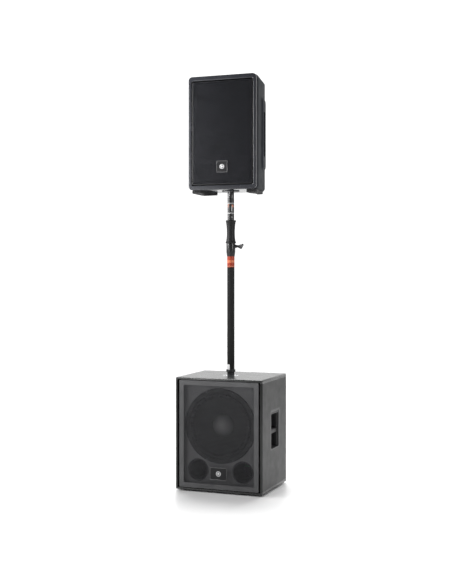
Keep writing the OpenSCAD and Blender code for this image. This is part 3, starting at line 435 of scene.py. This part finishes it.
def wrap_orange():
    """The lower tube's printed sleeves: an orange band, and a white label near the foot."""
    f = Finish("pole_sleeves", (0.3, 0.042, 0.02), 0.32, 0.25)
    f.vary(0.06, 25 * MM).rough(8 * MM, 0.26, 0.4)
    low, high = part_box("pole_lower_wraps")
    label_top = low.z + 40 * MM
    z = f.axis("Z")
    below = f.math("LESS_THAN", z, label_top)
    f.over(below, (0.012, 0.012, 0.012))
    shown = f.math("LESS_THAN", f.axis("X"), 1 * MM)
    f.over(f.math("MULTIPLY", below, shown), (0.9, 0.9, 0.9))
    f.over(f.within(z, high.z - 34 * MM, high.z - 20 * MM), (0.5, 0.15, 0.075))
    f.over(f.within(z, high.z - 54 * MM, high.z - 51.5 * MM), (0.45, 0.22, 0.14))
    f.over(f.within(z, high.z - 5 * MM, high.z), (0.3, 0.05, 0.03))
    f.over(f.spread(f.noise(3 * MM, 7.0), 0.62, 0.8, 0.0, 0.35), (0.2, 0.07, 0.04))
    f.bump(f.noise(6 * MM, 3.0), 0.08 * MM, 0.3)
    return f.material


def wrap_black():
    """The upper tube's printed sleeve: black with two pale rings and small marks."""
    f = Finish("upper_sleeve", (0.01, 0.01, 0.011), 0.4, 0.4)
    f.vary(0.15, 20 * MM).rough(8 * MM, 0.3, 0.48)
    low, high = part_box("pole_upper_wrap")
    z = f.axis("Z")
    x = f.axis("X")
    white = (0.32, 0.32, 0.32)
    orange = (0.42, 0.15, 0.08)
    front = f.math("LESS_THAN", f.axis("Y"), (low.y + high.y) / 2)

    def mark(down, tall, colour, left=None, wide=None):
        """A band that far below the sleeve's top, or only a patch of it at the front."""
        share = f.within(z, high.z - down - tall, high.z - down)
        if left is not None:
            patch = f.math("MULTIPLY", f.within(x, left, left + wide), front)
            share = f.math("MULTIPLY", share, patch)
        f.over(share, colour)

    mark(33 * MM, 6 * MM, orange, -14 * MM, 11 * MM)
    mark(35 * MM, 14 * MM, orange, 10 * MM, 7 * MM)
    mark(43 * MM, 5 * MM, orange, -14 * MM, 9 * MM)
    mark(42 * MM, 28 * MM, white, 8 * MM, 4.5 * MM)
    mark(25 * MM, 5 * MM, white)
    mark(77 * MM, 5 * MM, white)
    mark(98 * MM, 5 * MM, white, 9 * MM, 4 * MM)
    f.bump(f.noise(4 * MM, 3.0), 0.05 * MM, 0.3)
    return f.material


def studio_floor():
    f = Finish("studio_floor", (0.92, 0.92, 0.92), 0.3, 0.35)
    f.vary(0.01, 400 * MM).rough(500 * MM, 0.26, 0.34)
    f.bump(f.noise(30 * MM, 2.0), 0.05 * MM, 0.1)
    return f.material


finishes = {
    "paint": paint_textured("cabinet_paint", 0.27, 0.55),
    "inner_paint": paint_smooth("baffle_paint", (0.12, 0.12, 0.125), 0.6),
    "frame_paint": powder_coat("frame_coat", (0.08, 0.08, 0.083), 0.42),
    "grille_steel": powder_coat("grille_coat", (0.055, 0.055, 0.06), 0.45),
    "top_grille": top_grille_coat(),
    "side_paint": side_coat(),
    "badge_metal": metal("badge_silver", (0.6, 0.6, 0.61), 0.45, (14, 1, 1)),
    "badge_border": metal("badge_rim", (0.22, 0.22, 0.225), 0.45, (14, 1, 1)),
    "badge_plate": moulded("badge_plate", (0.006, 0.006, 0.007), 0.4, 0.3, 0.4 * MM),
    "cast_metal": powder_coat("basket_coat", (0.012, 0.012, 0.013), 0.5, 0.2),
    "magnet_steel": ferrite(),
    "roll_rubber": rubber("surround_rubber", (0.018, 0.018, 0.019), 0.8, 0.15),
    "spider_cloth": cloth("spider_net", (0.42, 0.3, 0.14)),
    "cone_paper": paper("cone_pulp", (0.02, 0.02, 0.021)),
    "cap_paper": cap_paper(),
    "coil_copper": copper_winding(),
    "port_plastic": moulded("port_plastic", (0.016, 0.016, 0.018), 0.5),
    "handle_plastic": handle_moulding(),
    "grip_plastic": moulded("grip_plastic", (0.022, 0.024, 0.028), 0.66, 0.1, 0.9 * MM),
    "socket_metal": powder_coat("cup_coat", (0.04, 0.04, 0.043), 0.4),
    "zinc_steel": metal("zinc_plate", (0.6, 0.61, 0.62), 0.32, (1, 1, 1)),
    "foot_rubber": rubber("foot_rubber", (0.013, 0.013, 0.014)),
    "plate_paint": powder_coat("panel_coat", (0.026, 0.026, 0.028), 0.42),
    "circuit": circuit_board(),
    "connector": moulded("connector_plastic", (0.025, 0.025, 0.028), 0.3, 0.5, 0.4 * MM),
    "knob_plastic": moulded("knob_plastic", (0.018, 0.018, 0.02), 0.45, 0.4, 0.4 * MM),
    "switch_plastic": moulded("switch_plastic", (0.012, 0.012, 0.012), 0.25, 0.5, 0.5 * MM),
    "button_plastic": moulded("button_plastic", (0.34, 0.34, 0.35), 0.4, 0.4, 0.4 * MM),
    "screw_steel": metal("black_screws", (0.07, 0.07, 0.075), 0.4, (1, 1, 1)),
    "pole_black": pole_coat(),
    "foot_metal": powder_coat("pole_foot_coat", (0.022, 0.022, 0.024), 0.4),
    "wrap_orange": wrap_orange(),
    "clutch_plastic": moulded("clutch_plastic", (0.013, 0.013, 0.0135), 0.3, 0.34),
    "collet_plastic": moulded("acetal", (0.5, 0.5, 0.48), 0.4, 0.4, 0.5 * MM),
    "grip_rubber": rubber("grip_rubber", (0.009, 0.009, 0.0095), 0.5, 0.2),
    "tube_metal": metal("tube_satin", (0.1, 0.1, 0.102), 0.36),
    "wrap_black": wrap_black(),
    "bezel_plastic": bezel_moulding(),
    "shell_plastic": shell_moulding(),
    "foam": open_foam(),
    "horn_plastic": moulded("horn_plastic", (0.012, 0.012, 0.012), 0.4),
    "rail_rubber": rubber("rail_rubber", (0.02, 0.02, 0.021)),
}


# ---- Pieces ----------------------------------------------------------------------------


def dress(obj, slot):
    """The slot's material on a piece or CAD node, in place of what it came with."""
    obj.data.materials.clear()
    obj.data.materials.append(finishes[slot])


def new_mesh(name, points, faces, smooth=False):
    mesh = bpy.data.meshes.new(name)
    mesh.from_pydata(points, [], faces)
    mesh.validate()
    built = bmesh.new()
    built.from_mesh(mesh)
    bmesh.ops.recalc_face_normals(built, faces=built.faces)
    for face in built.faces:
        face.smooth = smooth
    built.to_mesh(mesh)
    built.free()
    obj = bpy.data.objects.new(name, mesh)
    scene.collection.objects.link(obj)
    return obj


def soften(obj, width, segments=2, angle=35):
    """Small round edges, which catch the light as real ones do."""
    bevel = obj.modifiers.new("edges", "BEVEL")
    bevel.width = width
    bevel.segments = segments
    bevel.limit_method = "ANGLE"
    bevel.angle_limit = radians(angle)
    bevel.harden_normals = False


def rounded_outline(half_w, half_h, radius, steps=6):
    """Points round a rectangle with round corners, anticlockwise from the right side."""
    points = []
    for corner, (sx, sz) in enumerate(((1, 1), (-1, 1), (-1, -1), (1, -1))):
        for i in range(steps + 1):
            turn = (corner + i / steps) * pi / 2
            x = sx * (half_w - radius) + radius * cos(turn)
            z = sz * (half_h - radius) + radius * sin(turn)
            points.append((x, z))
    return points


def lay_rings(rings, close_first=True, close_last=True):
    """Faces between rings of equally many points, and over the first and last."""
    count = len(rings[0])
    points = [p for ring in rings for p in ring]
    faces = []
    for k in range(len(rings) - 1):
        for i in range(count):
            j = (i + 1) % count
            faces.append((k * count + i, k * count + j, (k + 1) * count + j, (k + 1) * count + i))
    if close_first:
        faces.append(tuple(range(count)))
    if close_last:
        faces.append(tuple(reversed(range((len(rings) - 1) * count, len(rings) * count))))
    return points, faces


def add_part(target, part):
    """One list of points and faces joined to another."""
    points, faces = target
    start = len(points)
    points.extend(part[0])
    faces.extend(tuple(start + i for i in face) for face in part[1])


def perforated_sheet(name, node, corner, pitch, margin, fold):
    """The grille of that node: hexagonal holes at that pitch, and a plain border margin wide
    whose edge is rolled back by fold, or square if that is 0."""
    lo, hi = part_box(node)
    mid_x, mid_z = (lo.x + hi.x) / 2, (lo.z + hi.z) / 2
    half_w, half_h = (hi.x - lo.x) / 2, (hi.z - lo.z) / 2
    thick = hi.y - lo.y
    front, back = lo.y + 0.15 * thick, hi.y - 0.1 * thick
    cell_r = pitch / sqrt(3)
    hole_r = (pitch - GRILLE_WEB) / 2 / cos(pi / 6)
    points, faces, shared, edges = [], [], {}, {}

    def corner_point(x, z):
        key = (round(x / pitch * 12), round(z / pitch * 12))
        if key not in shared:
            shared[key] = len(points)
            points.extend(((mid_x + x, front, mid_z + z), (mid_x + x, back, mid_z + z)))
        return shared[key]

    rows = int(half_h / (1.5 * cell_r)) + 1
    columns = int(half_w / pitch) + 1
    for row in range(-rows, rows + 1):
        for column in range(-columns, columns + 1):
            x = (column + (0.5 if row % 2 else 0)) * pitch
            z = row * 1.5 * cell_r
            if not inside_rounded(x, z, half_w - margin, half_h - margin, corner):
                continue
            turns = [pi / 6 + k * pi / 3 for k in range(6)]
            outer = [corner_point(x + cell_r * cos(t), z + cell_r * sin(t)) for t in turns]
            start = len(points)
            for t in turns:
                hx, hz = mid_x + x + hole_r * cos(t), mid_z + z + hole_r * sin(t)
                points.extend(((hx, front, hz), (hx, back, hz)))
            for k in range(6):
                a, b = outer[k], outer[(k + 1) % 6]
                c, d = start + 2 * k, start + 2 * ((k + 1) % 6)
                faces.append((a, b, d, c))
                faces.append((b + 1, a + 1, c + 1, d + 1))
                faces.append((c, d, d + 1, c + 1))
                key = (min(a, b), max(a, b))
                edges[key] = None if key in edges else (a, b)
    for edge in edges.values():
        if edge:
            a, b = edge
            faces.append((b, a, a + 1, b + 1))

    def rim_ring(inset, y):
        radius = max(corner - inset, 0.5 * MM)
        outline = rounded_outline(half_w - inset, half_h - inset, radius)
        return [(mid_x + x, y, mid_z + z) for x, z in outline]

    rounding = 0.25 * thick
    inner = margin + 0.2 * pitch
    if fold:
        steps = 5
        turns = [pi / 2 * i / steps for i in range(steps + 1)]
        outside = [rim_ring(margin * (1 - sin(t)), lo.y + fold * (1 - cos(t))) for t in turns]
        inside = [
            rim_ring(
                thick + (margin - thick) * (1 - sin(t)), hi.y + (fold - thick) * (1 - cos(t))
            )
            for t in reversed(turns)
        ]
        rings = outside + inside
    else:
        rings = [rim_ring(rounding, lo.y), rim_ring(0, lo.y + rounding), rim_ring(0, hi.y)]
    rings += [
        rim_ring(inner, hi.y), rim_ring(inner, lo.y + rounding), rim_ring(inner - rounding, lo.y)
    ]
    rim = lay_rings(rings + [rings[0]], False, False)
    add_part((points, faces), rim)
    sheet = new_mesh(name, points, faces)
    weld(sheet)
    return sheet


def weld(obj):
    built = bmesh.new()
    built.from_mesh(obj.data)
    bmesh.ops.remove_doubles(built, verts=built.verts, dist=WELD_WITHIN)
    bmesh.ops.recalc_face_normals(built, faces=built.faces)
    built.to_mesh(obj.data)
    built.free()


def inside_rounded(x, z, half_w, half_h, radius):
    """Whether a point is inside a rectangle with round corners round the middle."""
    dx, dz = abs(x) - (half_w - radius), abs(z) - (half_h - radius)
    if dx > radius or dz > radius:
        return False
    return dx <= 0 or dz <= 0 or dx * dx + dz * dz <= radius * radius


def grille(name, node, body, finish, corner, pitch, margin, fold):
    sheet = perforated_sheet(name, node, corner, pitch, margin, fold)
    dress(sheet, finish)
    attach(sheet, body)
    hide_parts(node)


def badge(name, node, body):
    """A dark plate with a raised border, and a plain silver ring and dot in the middle."""
    lo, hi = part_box(node)
    mid_x, mid_z = (lo.x + hi.x) / 2, (lo.z + hi.z) / 2
    half_w, half_h = (hi.x - lo.x) / 2, (hi.z - lo.z) / 2
    thick = hi.y - lo.y

    def outline(inset, height, radius):
        around = rounded_outline(half_w - inset, half_h - inset, radius)
        return [(mid_x + x, hi.y - height * thick, mid_z + z) for x, z in around]

    def disc_ring(radius, height, steps=48):
        y = hi.y - height * thick
        turns = [2 * pi * i / steps for i in range(steps)]
        return [(mid_x + radius * cos(t), y, mid_z + radius * sin(t)) for t in turns]

    plate = lay_rings(
        [outline(0, 0, 2 * MM), outline(0, 0.55, 2 * MM), outline(0.4 * MM, 0.65, 1.8 * MM)]
    )
    edge = 1.8 * MM
    border = lay_rings(
        [
            outline(0.3 * MM, 0.5, 1.9 * MM), outline(0.3 * MM, 0.85, 1.9 * MM),
            outline(0.8 * MM, 1.0, 1.6 * MM), outline(edge - 0.5 * MM, 1.0, 1.2 * MM),
            outline(edge, 0.85, 1.0 * MM), outline(edge, 0.5, 1.0 * MM),
            outline(0.3 * MM, 0.5, 1.9 * MM),
        ],
        False, False,
    )
    ring_out = 0.42 * half_h
    ring_in = 0.3 * half_h
    emblem = lay_rings(
        [
            disc_ring(ring_out, 0.5), disc_ring(ring_out, 0.8),
            disc_ring(ring_out - 0.5 * MM, 0.92), disc_ring(ring_in + 0.5 * MM, 0.92),
            disc_ring(ring_in, 0.8), disc_ring(ring_in, 0.5), disc_ring(ring_out, 0.5),
        ],
        False, False,
    )
    dot_r = 0.2 * half_h
    dot = lay_rings([
        disc_ring(dot_r, 0.5), disc_ring(dot_r, 0.8),
        disc_ring(0.7 * dot_r, 0.95), disc_ring(0.2 * dot_r, 1.0),
    ])
    joined = ([], [])
    for part in (plate, border, emblem, dot):
        add_part(joined, part)
    obj = new_mesh(name, *joined)
    weld(obj)
    for finish in ("badge_plate", "badge_border", "badge_metal"):
        obj.data.materials.append(finishes[finish])
    plate_end = len(plate[1])
    border_end = plate_end + len(border[1])
    for face in obj.data.polygons:
        face.material_index = (face.index >= plate_end) + (face.index >= border_end)
    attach(obj, body)
    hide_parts(node)


def grille_foam(name, node, body):
    """Thin foam behind the grille: crowned between its edges, which pull in a little, and
    quilted very slightly where it is glued along lines."""
    lo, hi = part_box(node)
    mid_x, mid_z = (lo.x + hi.x) / 2, (lo.z + hi.z) / 2
    clear = GRILLE_ROLL + 0.5 * MM
    half_w, half_h = (hi.x - lo.x) / 2 - clear, (hi.z - lo.z) / 2 - clear
    columns, rows = 48, 76
    corner = 6 * MM
    points, faces = [], []

    def place(i, j):
        x = (2 * i / columns - 1) * half_w
        z = (2 * j / rows - 1) * half_h
        dx, dz = abs(x) - (half_w - corner), abs(z) - (half_h - corner)
        if dx > 0 and dz > 0:
            away = sqrt(dx * dx + dz * dz)
            if away > corner:
                x -= (1 - corner / away) * dx * (1 if x > 0 else -1)
                z -= (1 - corner / away) * dz * (1 if z > 0 else -1)
        return x, z

    def crown(i, j):
        """0 at the edges, 1 a few grid steps inside."""
        near = min(i, columns - i, j, rows - j)
        return 1 - (1 - min(near / 3, 1.0)) ** 2

    for side in (0, 1):
        for j in range(rows + 1):
            for i in range(columns + 1):
                x, z = place(i, j)
                drift = 0.25 * MM * (sin(x * 61) * cos(z * 43) + 1)
                if side == 0:
                    y = lo.y + 1.6 * MM * (1 - crown(i, j)) + drift + 0.1 * MM
                else:
                    y = hi.y - 1.2 * MM * (1 - crown(i, j)) - 0.1 * MM
                points.append((mid_x + x, y, mid_z + z))
    layer = (rows + 1) * (columns + 1)

    def at(side, i, j):
        return side * layer + j * (columns + 1) + i

    for j in range(rows):
        for i in range(columns):
            faces.append((at(0, i, j), at(0, i + 1, j), at(0, i + 1, j + 1), at(0, i, j + 1)))
            faces.append((at(1, i, j), at(1, i, j + 1), at(1, i + 1, j + 1), at(1, i + 1, j)))
    for i in range(columns):
        for j, order in ((0, 1), (rows, -1)):
            quad = (at(0, i, j), at(1, i, j), at(1, i + 1, j), at(0, i + 1, j))
            faces.append(quad[::order])
    for j in range(rows):
        for i, order in ((0, -1), (columns, 1)):
            quad = (at(0, i, j), at(1, i, j), at(1, i, j + 1), at(0, i, j + 1))
            faces.append(quad[::order])
    foam = new_mesh(name, points, faces, smooth=True)
    dress(foam, "foam")
    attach(foam, body)
    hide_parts(node)


def bending_ring(name, node, profile, slot):
    """A ring round the Y axis with that closed profile of (radius, y), in sectors."""
    sectors, steps = 24, 4
    lo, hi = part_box(node)
    middle = Vector(((lo.x + hi.x) / 2, 0, (lo.z + hi.z) / 2))
    for k in range(sectors):
        rings = []
        for i in range(steps + 1):
            turn = 2 * pi * (k + i / steps) / sectors
            rings.append(
                [(middle.x + r * cos(turn), y, middle.z + r * sin(turn)) for r, y in profile]
            )
        sector = new_mesh(f"{name}_{k + 1}", *lay_rings(rings), smooth=True)
        dress(sector, slot)
        turn = 2 * pi * (k + 0.5) / sectors
        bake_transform(sector)
        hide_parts(node)


def roll_surround(name, node):
    """The half roll of rubber between a cone's edge and its frame."""
    lo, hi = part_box(node)
    sheet = 1 * MM
    outer = (hi.x - lo.x) / 2
    roll = hi.y - lo.y - sheet
    flange = 3 * MM
    cone_edge = outer - flange - 2 * roll
    mid = cone_edge + roll
    steps = 14
    arc = [pi * (1 - i / steps) for i in range(steps + 1)]
    profile = [(cone_edge - 5 * MM, hi.y), (cone_edge - 5 * MM, hi.y - sheet)]
    profile += [(mid + roll * cos(t), hi.y - sheet - roll * sin(t)) for t in arc]
    profile += [(outer, hi.y - sheet), (outer, hi.y)]
    hollow = roll - sheet
    profile += [(mid + hollow * cos(t), hi.y - hollow * sin(t)) for t in reversed(arc)]
    bending_ring(
        name, node, profile,
        "roll_rubber",
    )


def corrugated_spider(name, node, coil):
    """The cloth disc that centres the coil, with five waves."""
    lo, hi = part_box(node)
    coil_lo, coil_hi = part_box(coil)
    outer = (hi.x - lo.x) / 2
    inner = (coil_hi.x - coil_lo.x) / 2 + 0.4 * MM
    cloth_t = 0.7 * MM
    height = (hi.y - lo.y - cloth_t) / 2
    waves, steps = 5, 40
    front, back = [], []
    for i in range(steps + 1):
        t = i / steps
        radius = inner + (outer - inner) * t
        y = (lo.y + hi.y) / 2 + height * sin(2 * pi * waves * t)
        front.append((radius, y - cloth_t / 2))
        back.append((radius, y + cloth_t / 2))
    bending_ring(
        name, node, front + back[::-1],
        "spider_cloth",
    )


# Nodes with another finish than their slot's: the side panels are duller than the top, with painted
# light low down
FINISH_OF = {
    "sub_left_panel": "side_paint", "sub_right_panel": "side_paint", "sub_back_panel": "side_paint",
    "spk_handle_grips": "grip_plastic",
}
# Widths of the small round edges, in millimetres, on the CAD nodes where they show. Edges
# over WIDE_EDGE are rounded in four steps instead of two.
EDGES = {
    "sub_top_panel": 1.5, "sub_bottom_panel": 1.5, "sub_left_panel": 1.5, "sub_right_panel": 1.5,
    "sub_back_panel": 1.0, "sub_front_frame": 1.2, "sub_feet": 1.0, "sub_amp_plate": 0.5,
    "sub_handle_left": 2.0, "sub_handle_right": 2.0, "pole_foot": 0.5, "pole_grip": 1.0,
    "pole_clutch_housing": 0.8, "spk_front_bezel": 6.0, "spk_amp_plate": 0.5,
    "spk_foot_rails": 0.8,
}
WIDE_EDGE = 2.0
JOIN_WITHIN = 0.01 * MM  # vertices closer than this are one

for part in frame["record"]["subparts"]:
    solid = nodes[part["node"]]
    dress(solid, FINISH_OF.get(part["node"], part["material_slot"]))
    if part["node"] in EDGES:
        merge = solid.modifiers.new("merge", "WELD")
        merge.merge_threshold = JOIN_WITHIN
        soften(solid, EDGES[part["node"]] * MM, 4 if EDGES[part["node"]] > WIDE_EDGE else 2)

grille(
    "sub_grille_sheet", "sub_grille", "sub_and_pole", "grille_steel",
    corner=4 * MM, pitch=7.5 * MM, margin=9 * MM, fold=0,
)
grille(
    "spk_grille_sheet", "spk_grille", "top_speaker", "top_grille",
    corner=9 * MM, pitch=7 * MM, margin=GRILLE_ROLL, fold=4.5 * MM,
)
badge("sub_badge_plate", "sub_badge", "sub_and_pole")
badge("spk_badge_plate", "spk_badge", "top_speaker")
grille_foam("spk_foam_sheet", "spk_grille_foam", "top_speaker")
roll_surround("sub_surround", "sub_woofer_surround")
roll_surround("spk_surround", "spk_woofer_surround")
corrugated_spider("sub_spider", "sub_woofer_spider", "sub_voice_coil")


# ---- Studio ----------------------------------------------------------------------------

CAMERA_TURN = radians(21.25)
FRAME_HEIGHT = 584  # of the picture, in its own units
# Brightness of the white backdrop, of the room's walls elsewhere, and of its ceiling
BACKDROP_LEVEL = 1.2
ROOM_LEVEL = 0.7
CEILING_LEVEL = 0.15


def studio():
    reach = 14.0
    cells = 12
    points, faces = [], []
    for j in range(cells + 1):
        for i in range(cells + 1):
            points.append(((2 * i / cells - 1) * reach, (2 * j / cells - 1) * reach, 0.0))
    for j in range(cells):
        for i in range(cells):
            a = j * (cells + 1) + i
            faces.append((a, a + 1, a + cells + 2, a + cells + 1))
    floor = new_mesh("floor", points, faces)
    floor.data.materials.append(studio_floor())

    world = bpy.data.worlds.new("white_studio")
    scene.world = world
    world.use_nodes = True
    tree = world.node_tree
    direction = tree.nodes.new("ShaderNodeTexCoord").outputs["Generated"]
    towards = tree.nodes.new("ShaderNodeVectorMath")
    towards.operation = "DOT_PRODUCT"
    tree.links.new(direction, towards.inputs[0])
    towards.inputs[1].default_value = (-sin(CAMERA_TURN), cos(CAMERA_TURN), 0.0)
    split = tree.nodes.new("ShaderNodeSeparateXYZ")
    tree.links.new(direction, split.inputs[0])

    def fade(value, low, high, out_low, out_high):
        """Low to high becomes out_low to out_high smoothly; each may be a node's output."""
        made = tree.nodes.new("ShaderNodeMapRange")
        made.interpolation_type = "SMOOTHSTEP"
        numbers = (value, low, high, out_low, out_high)
        for name, number in zip(("Value", "From Min", "From Max", "To Min", "To Max"), numbers):
            if isinstance(number, bpy.types.NodeSocket):
                tree.links.new(number, made.inputs[name])
            else:
                made.inputs[name].default_value = number
        return made.outputs["Result"]

    room = fade(split.outputs["Z"], 0.05, 0.35, ROOM_LEVEL, CEILING_LEVEL)
    level = fade(towards.outputs["Value"], 0.2, 0.9, room, BACKDROP_LEVEL)
    background = tree.nodes["Background"]
    background.inputs["Color"].default_value = (1.0, 1.0, 1.0, 1.0)
    tree.links.new(level, background.inputs["Strength"])


def dark_card(name, lo, hi):
    """A black flag that keeps the room's light off the fronts. The camera doesn't see it."""
    steps = 6
    points, faces = [], []
    for j in range(steps + 1):
        for i in range(steps + 1):
            across, up = i / steps, j / steps
            points.append((
                lo[0] + (hi[0] - lo[0]) * across,
                lo[1] + (hi[1] - lo[1]) * across,
                lo[2] + (hi[2] - lo[2]) * up,
            ))
    for j in range(steps):
        for i in range(steps):
            a = j * (steps + 1) + i
            faces.append((a, a + 1, a + steps + 2, a + steps + 1))
    card = new_mesh(name, points, faces)
    card.data.materials.append(paint_smooth(name, (0.01, 0.01, 0.01), 0.9, 0.0))
    card.visible_camera = False
    return card


def soft_light(name, place, aim, width, height, power):
    lamp = bpy.data.lights.new(name, "AREA")
    lamp.shape = "RECTANGLE"
    lamp.size = width
    lamp.size_y = height
    lamp.energy = power
    obj = bpy.data.objects.new(name, lamp)
    obj.location = place
    obj.rotation_euler = (Vector(aim) - Vector(place)).to_track_quat("-Z", "Y").to_euler()
    obj.visible_camera = False
    scene.collection.objects.link(obj)


def overhead(place, strength, angle, cards):
    """A very soft light from above, the same all over the floor. The cards don't stop it."""
    lamp = bpy.data.lights.new("overhead", "SUN")
    lamp.energy = strength
    lamp.angle = radians(angle)
    obj = bpy.data.objects.new("overhead", lamp)
    obj.rotation_euler = (-Vector(place)).to_track_quat("-Z", "Y").to_euler()
    scene.collection.objects.link(obj)
    passed = bpy.data.collections.new("cards_the_overhead_passes")
    for card in cards:
        passed.objects.link(card)
    for entry in passed.collection_objects:
        entry.light_linking.link_state = "EXCLUDE"
    obj.light_linking.blocker_collection = passed


def camera():
    lens = bpy.data.cameras.new("camera")
    lens.sensor_width = 36
    lens.sensor_fit = "VERTICAL"
    lens.sensor_height = 36
    lens.lens = 64.6
    lens.shift_x = 0.2 / FRAME_HEIGHT
    lens.shift_y = -24 / FRAME_HEIGHT
    obj = bpy.data.objects.new("camera", lens)
    obj.location = (1.98916, -5.20498, 1.1602)
    obj.rotation_euler = (radians(90), 0, CAMERA_TURN)
    scene.collection.objects.link(obj)
    scene.camera = obj


studio()
flags = [
    dark_card("front_flag", (-7.0, -4.2, 0.8), (4.5, -5.2, 6.0)),
    dark_card("right_flag", (2.8, -4.8, 0.7), (4.4, 1.6, 5.0)),
]
soft_light("key", (-0.78, -0.5, 1.85), (0.0, -0.14, 1.85), 0.25, 0.9, 24)
soft_light("low_key", (-1.2, -2.2, 1.1), (-0.1, -0.1, 0.3), 0.6, 1.2, 15)
soft_light("edge_strip", (2.2, -0.9, 1.95), (0.2, -0.14, 1.85), 0.3, 1.2, 30)
overhead((-0.15, 0.5, 1.0), 3.2, 35, flags)
camera()
scene.view_settings.view_transform = "Standard"
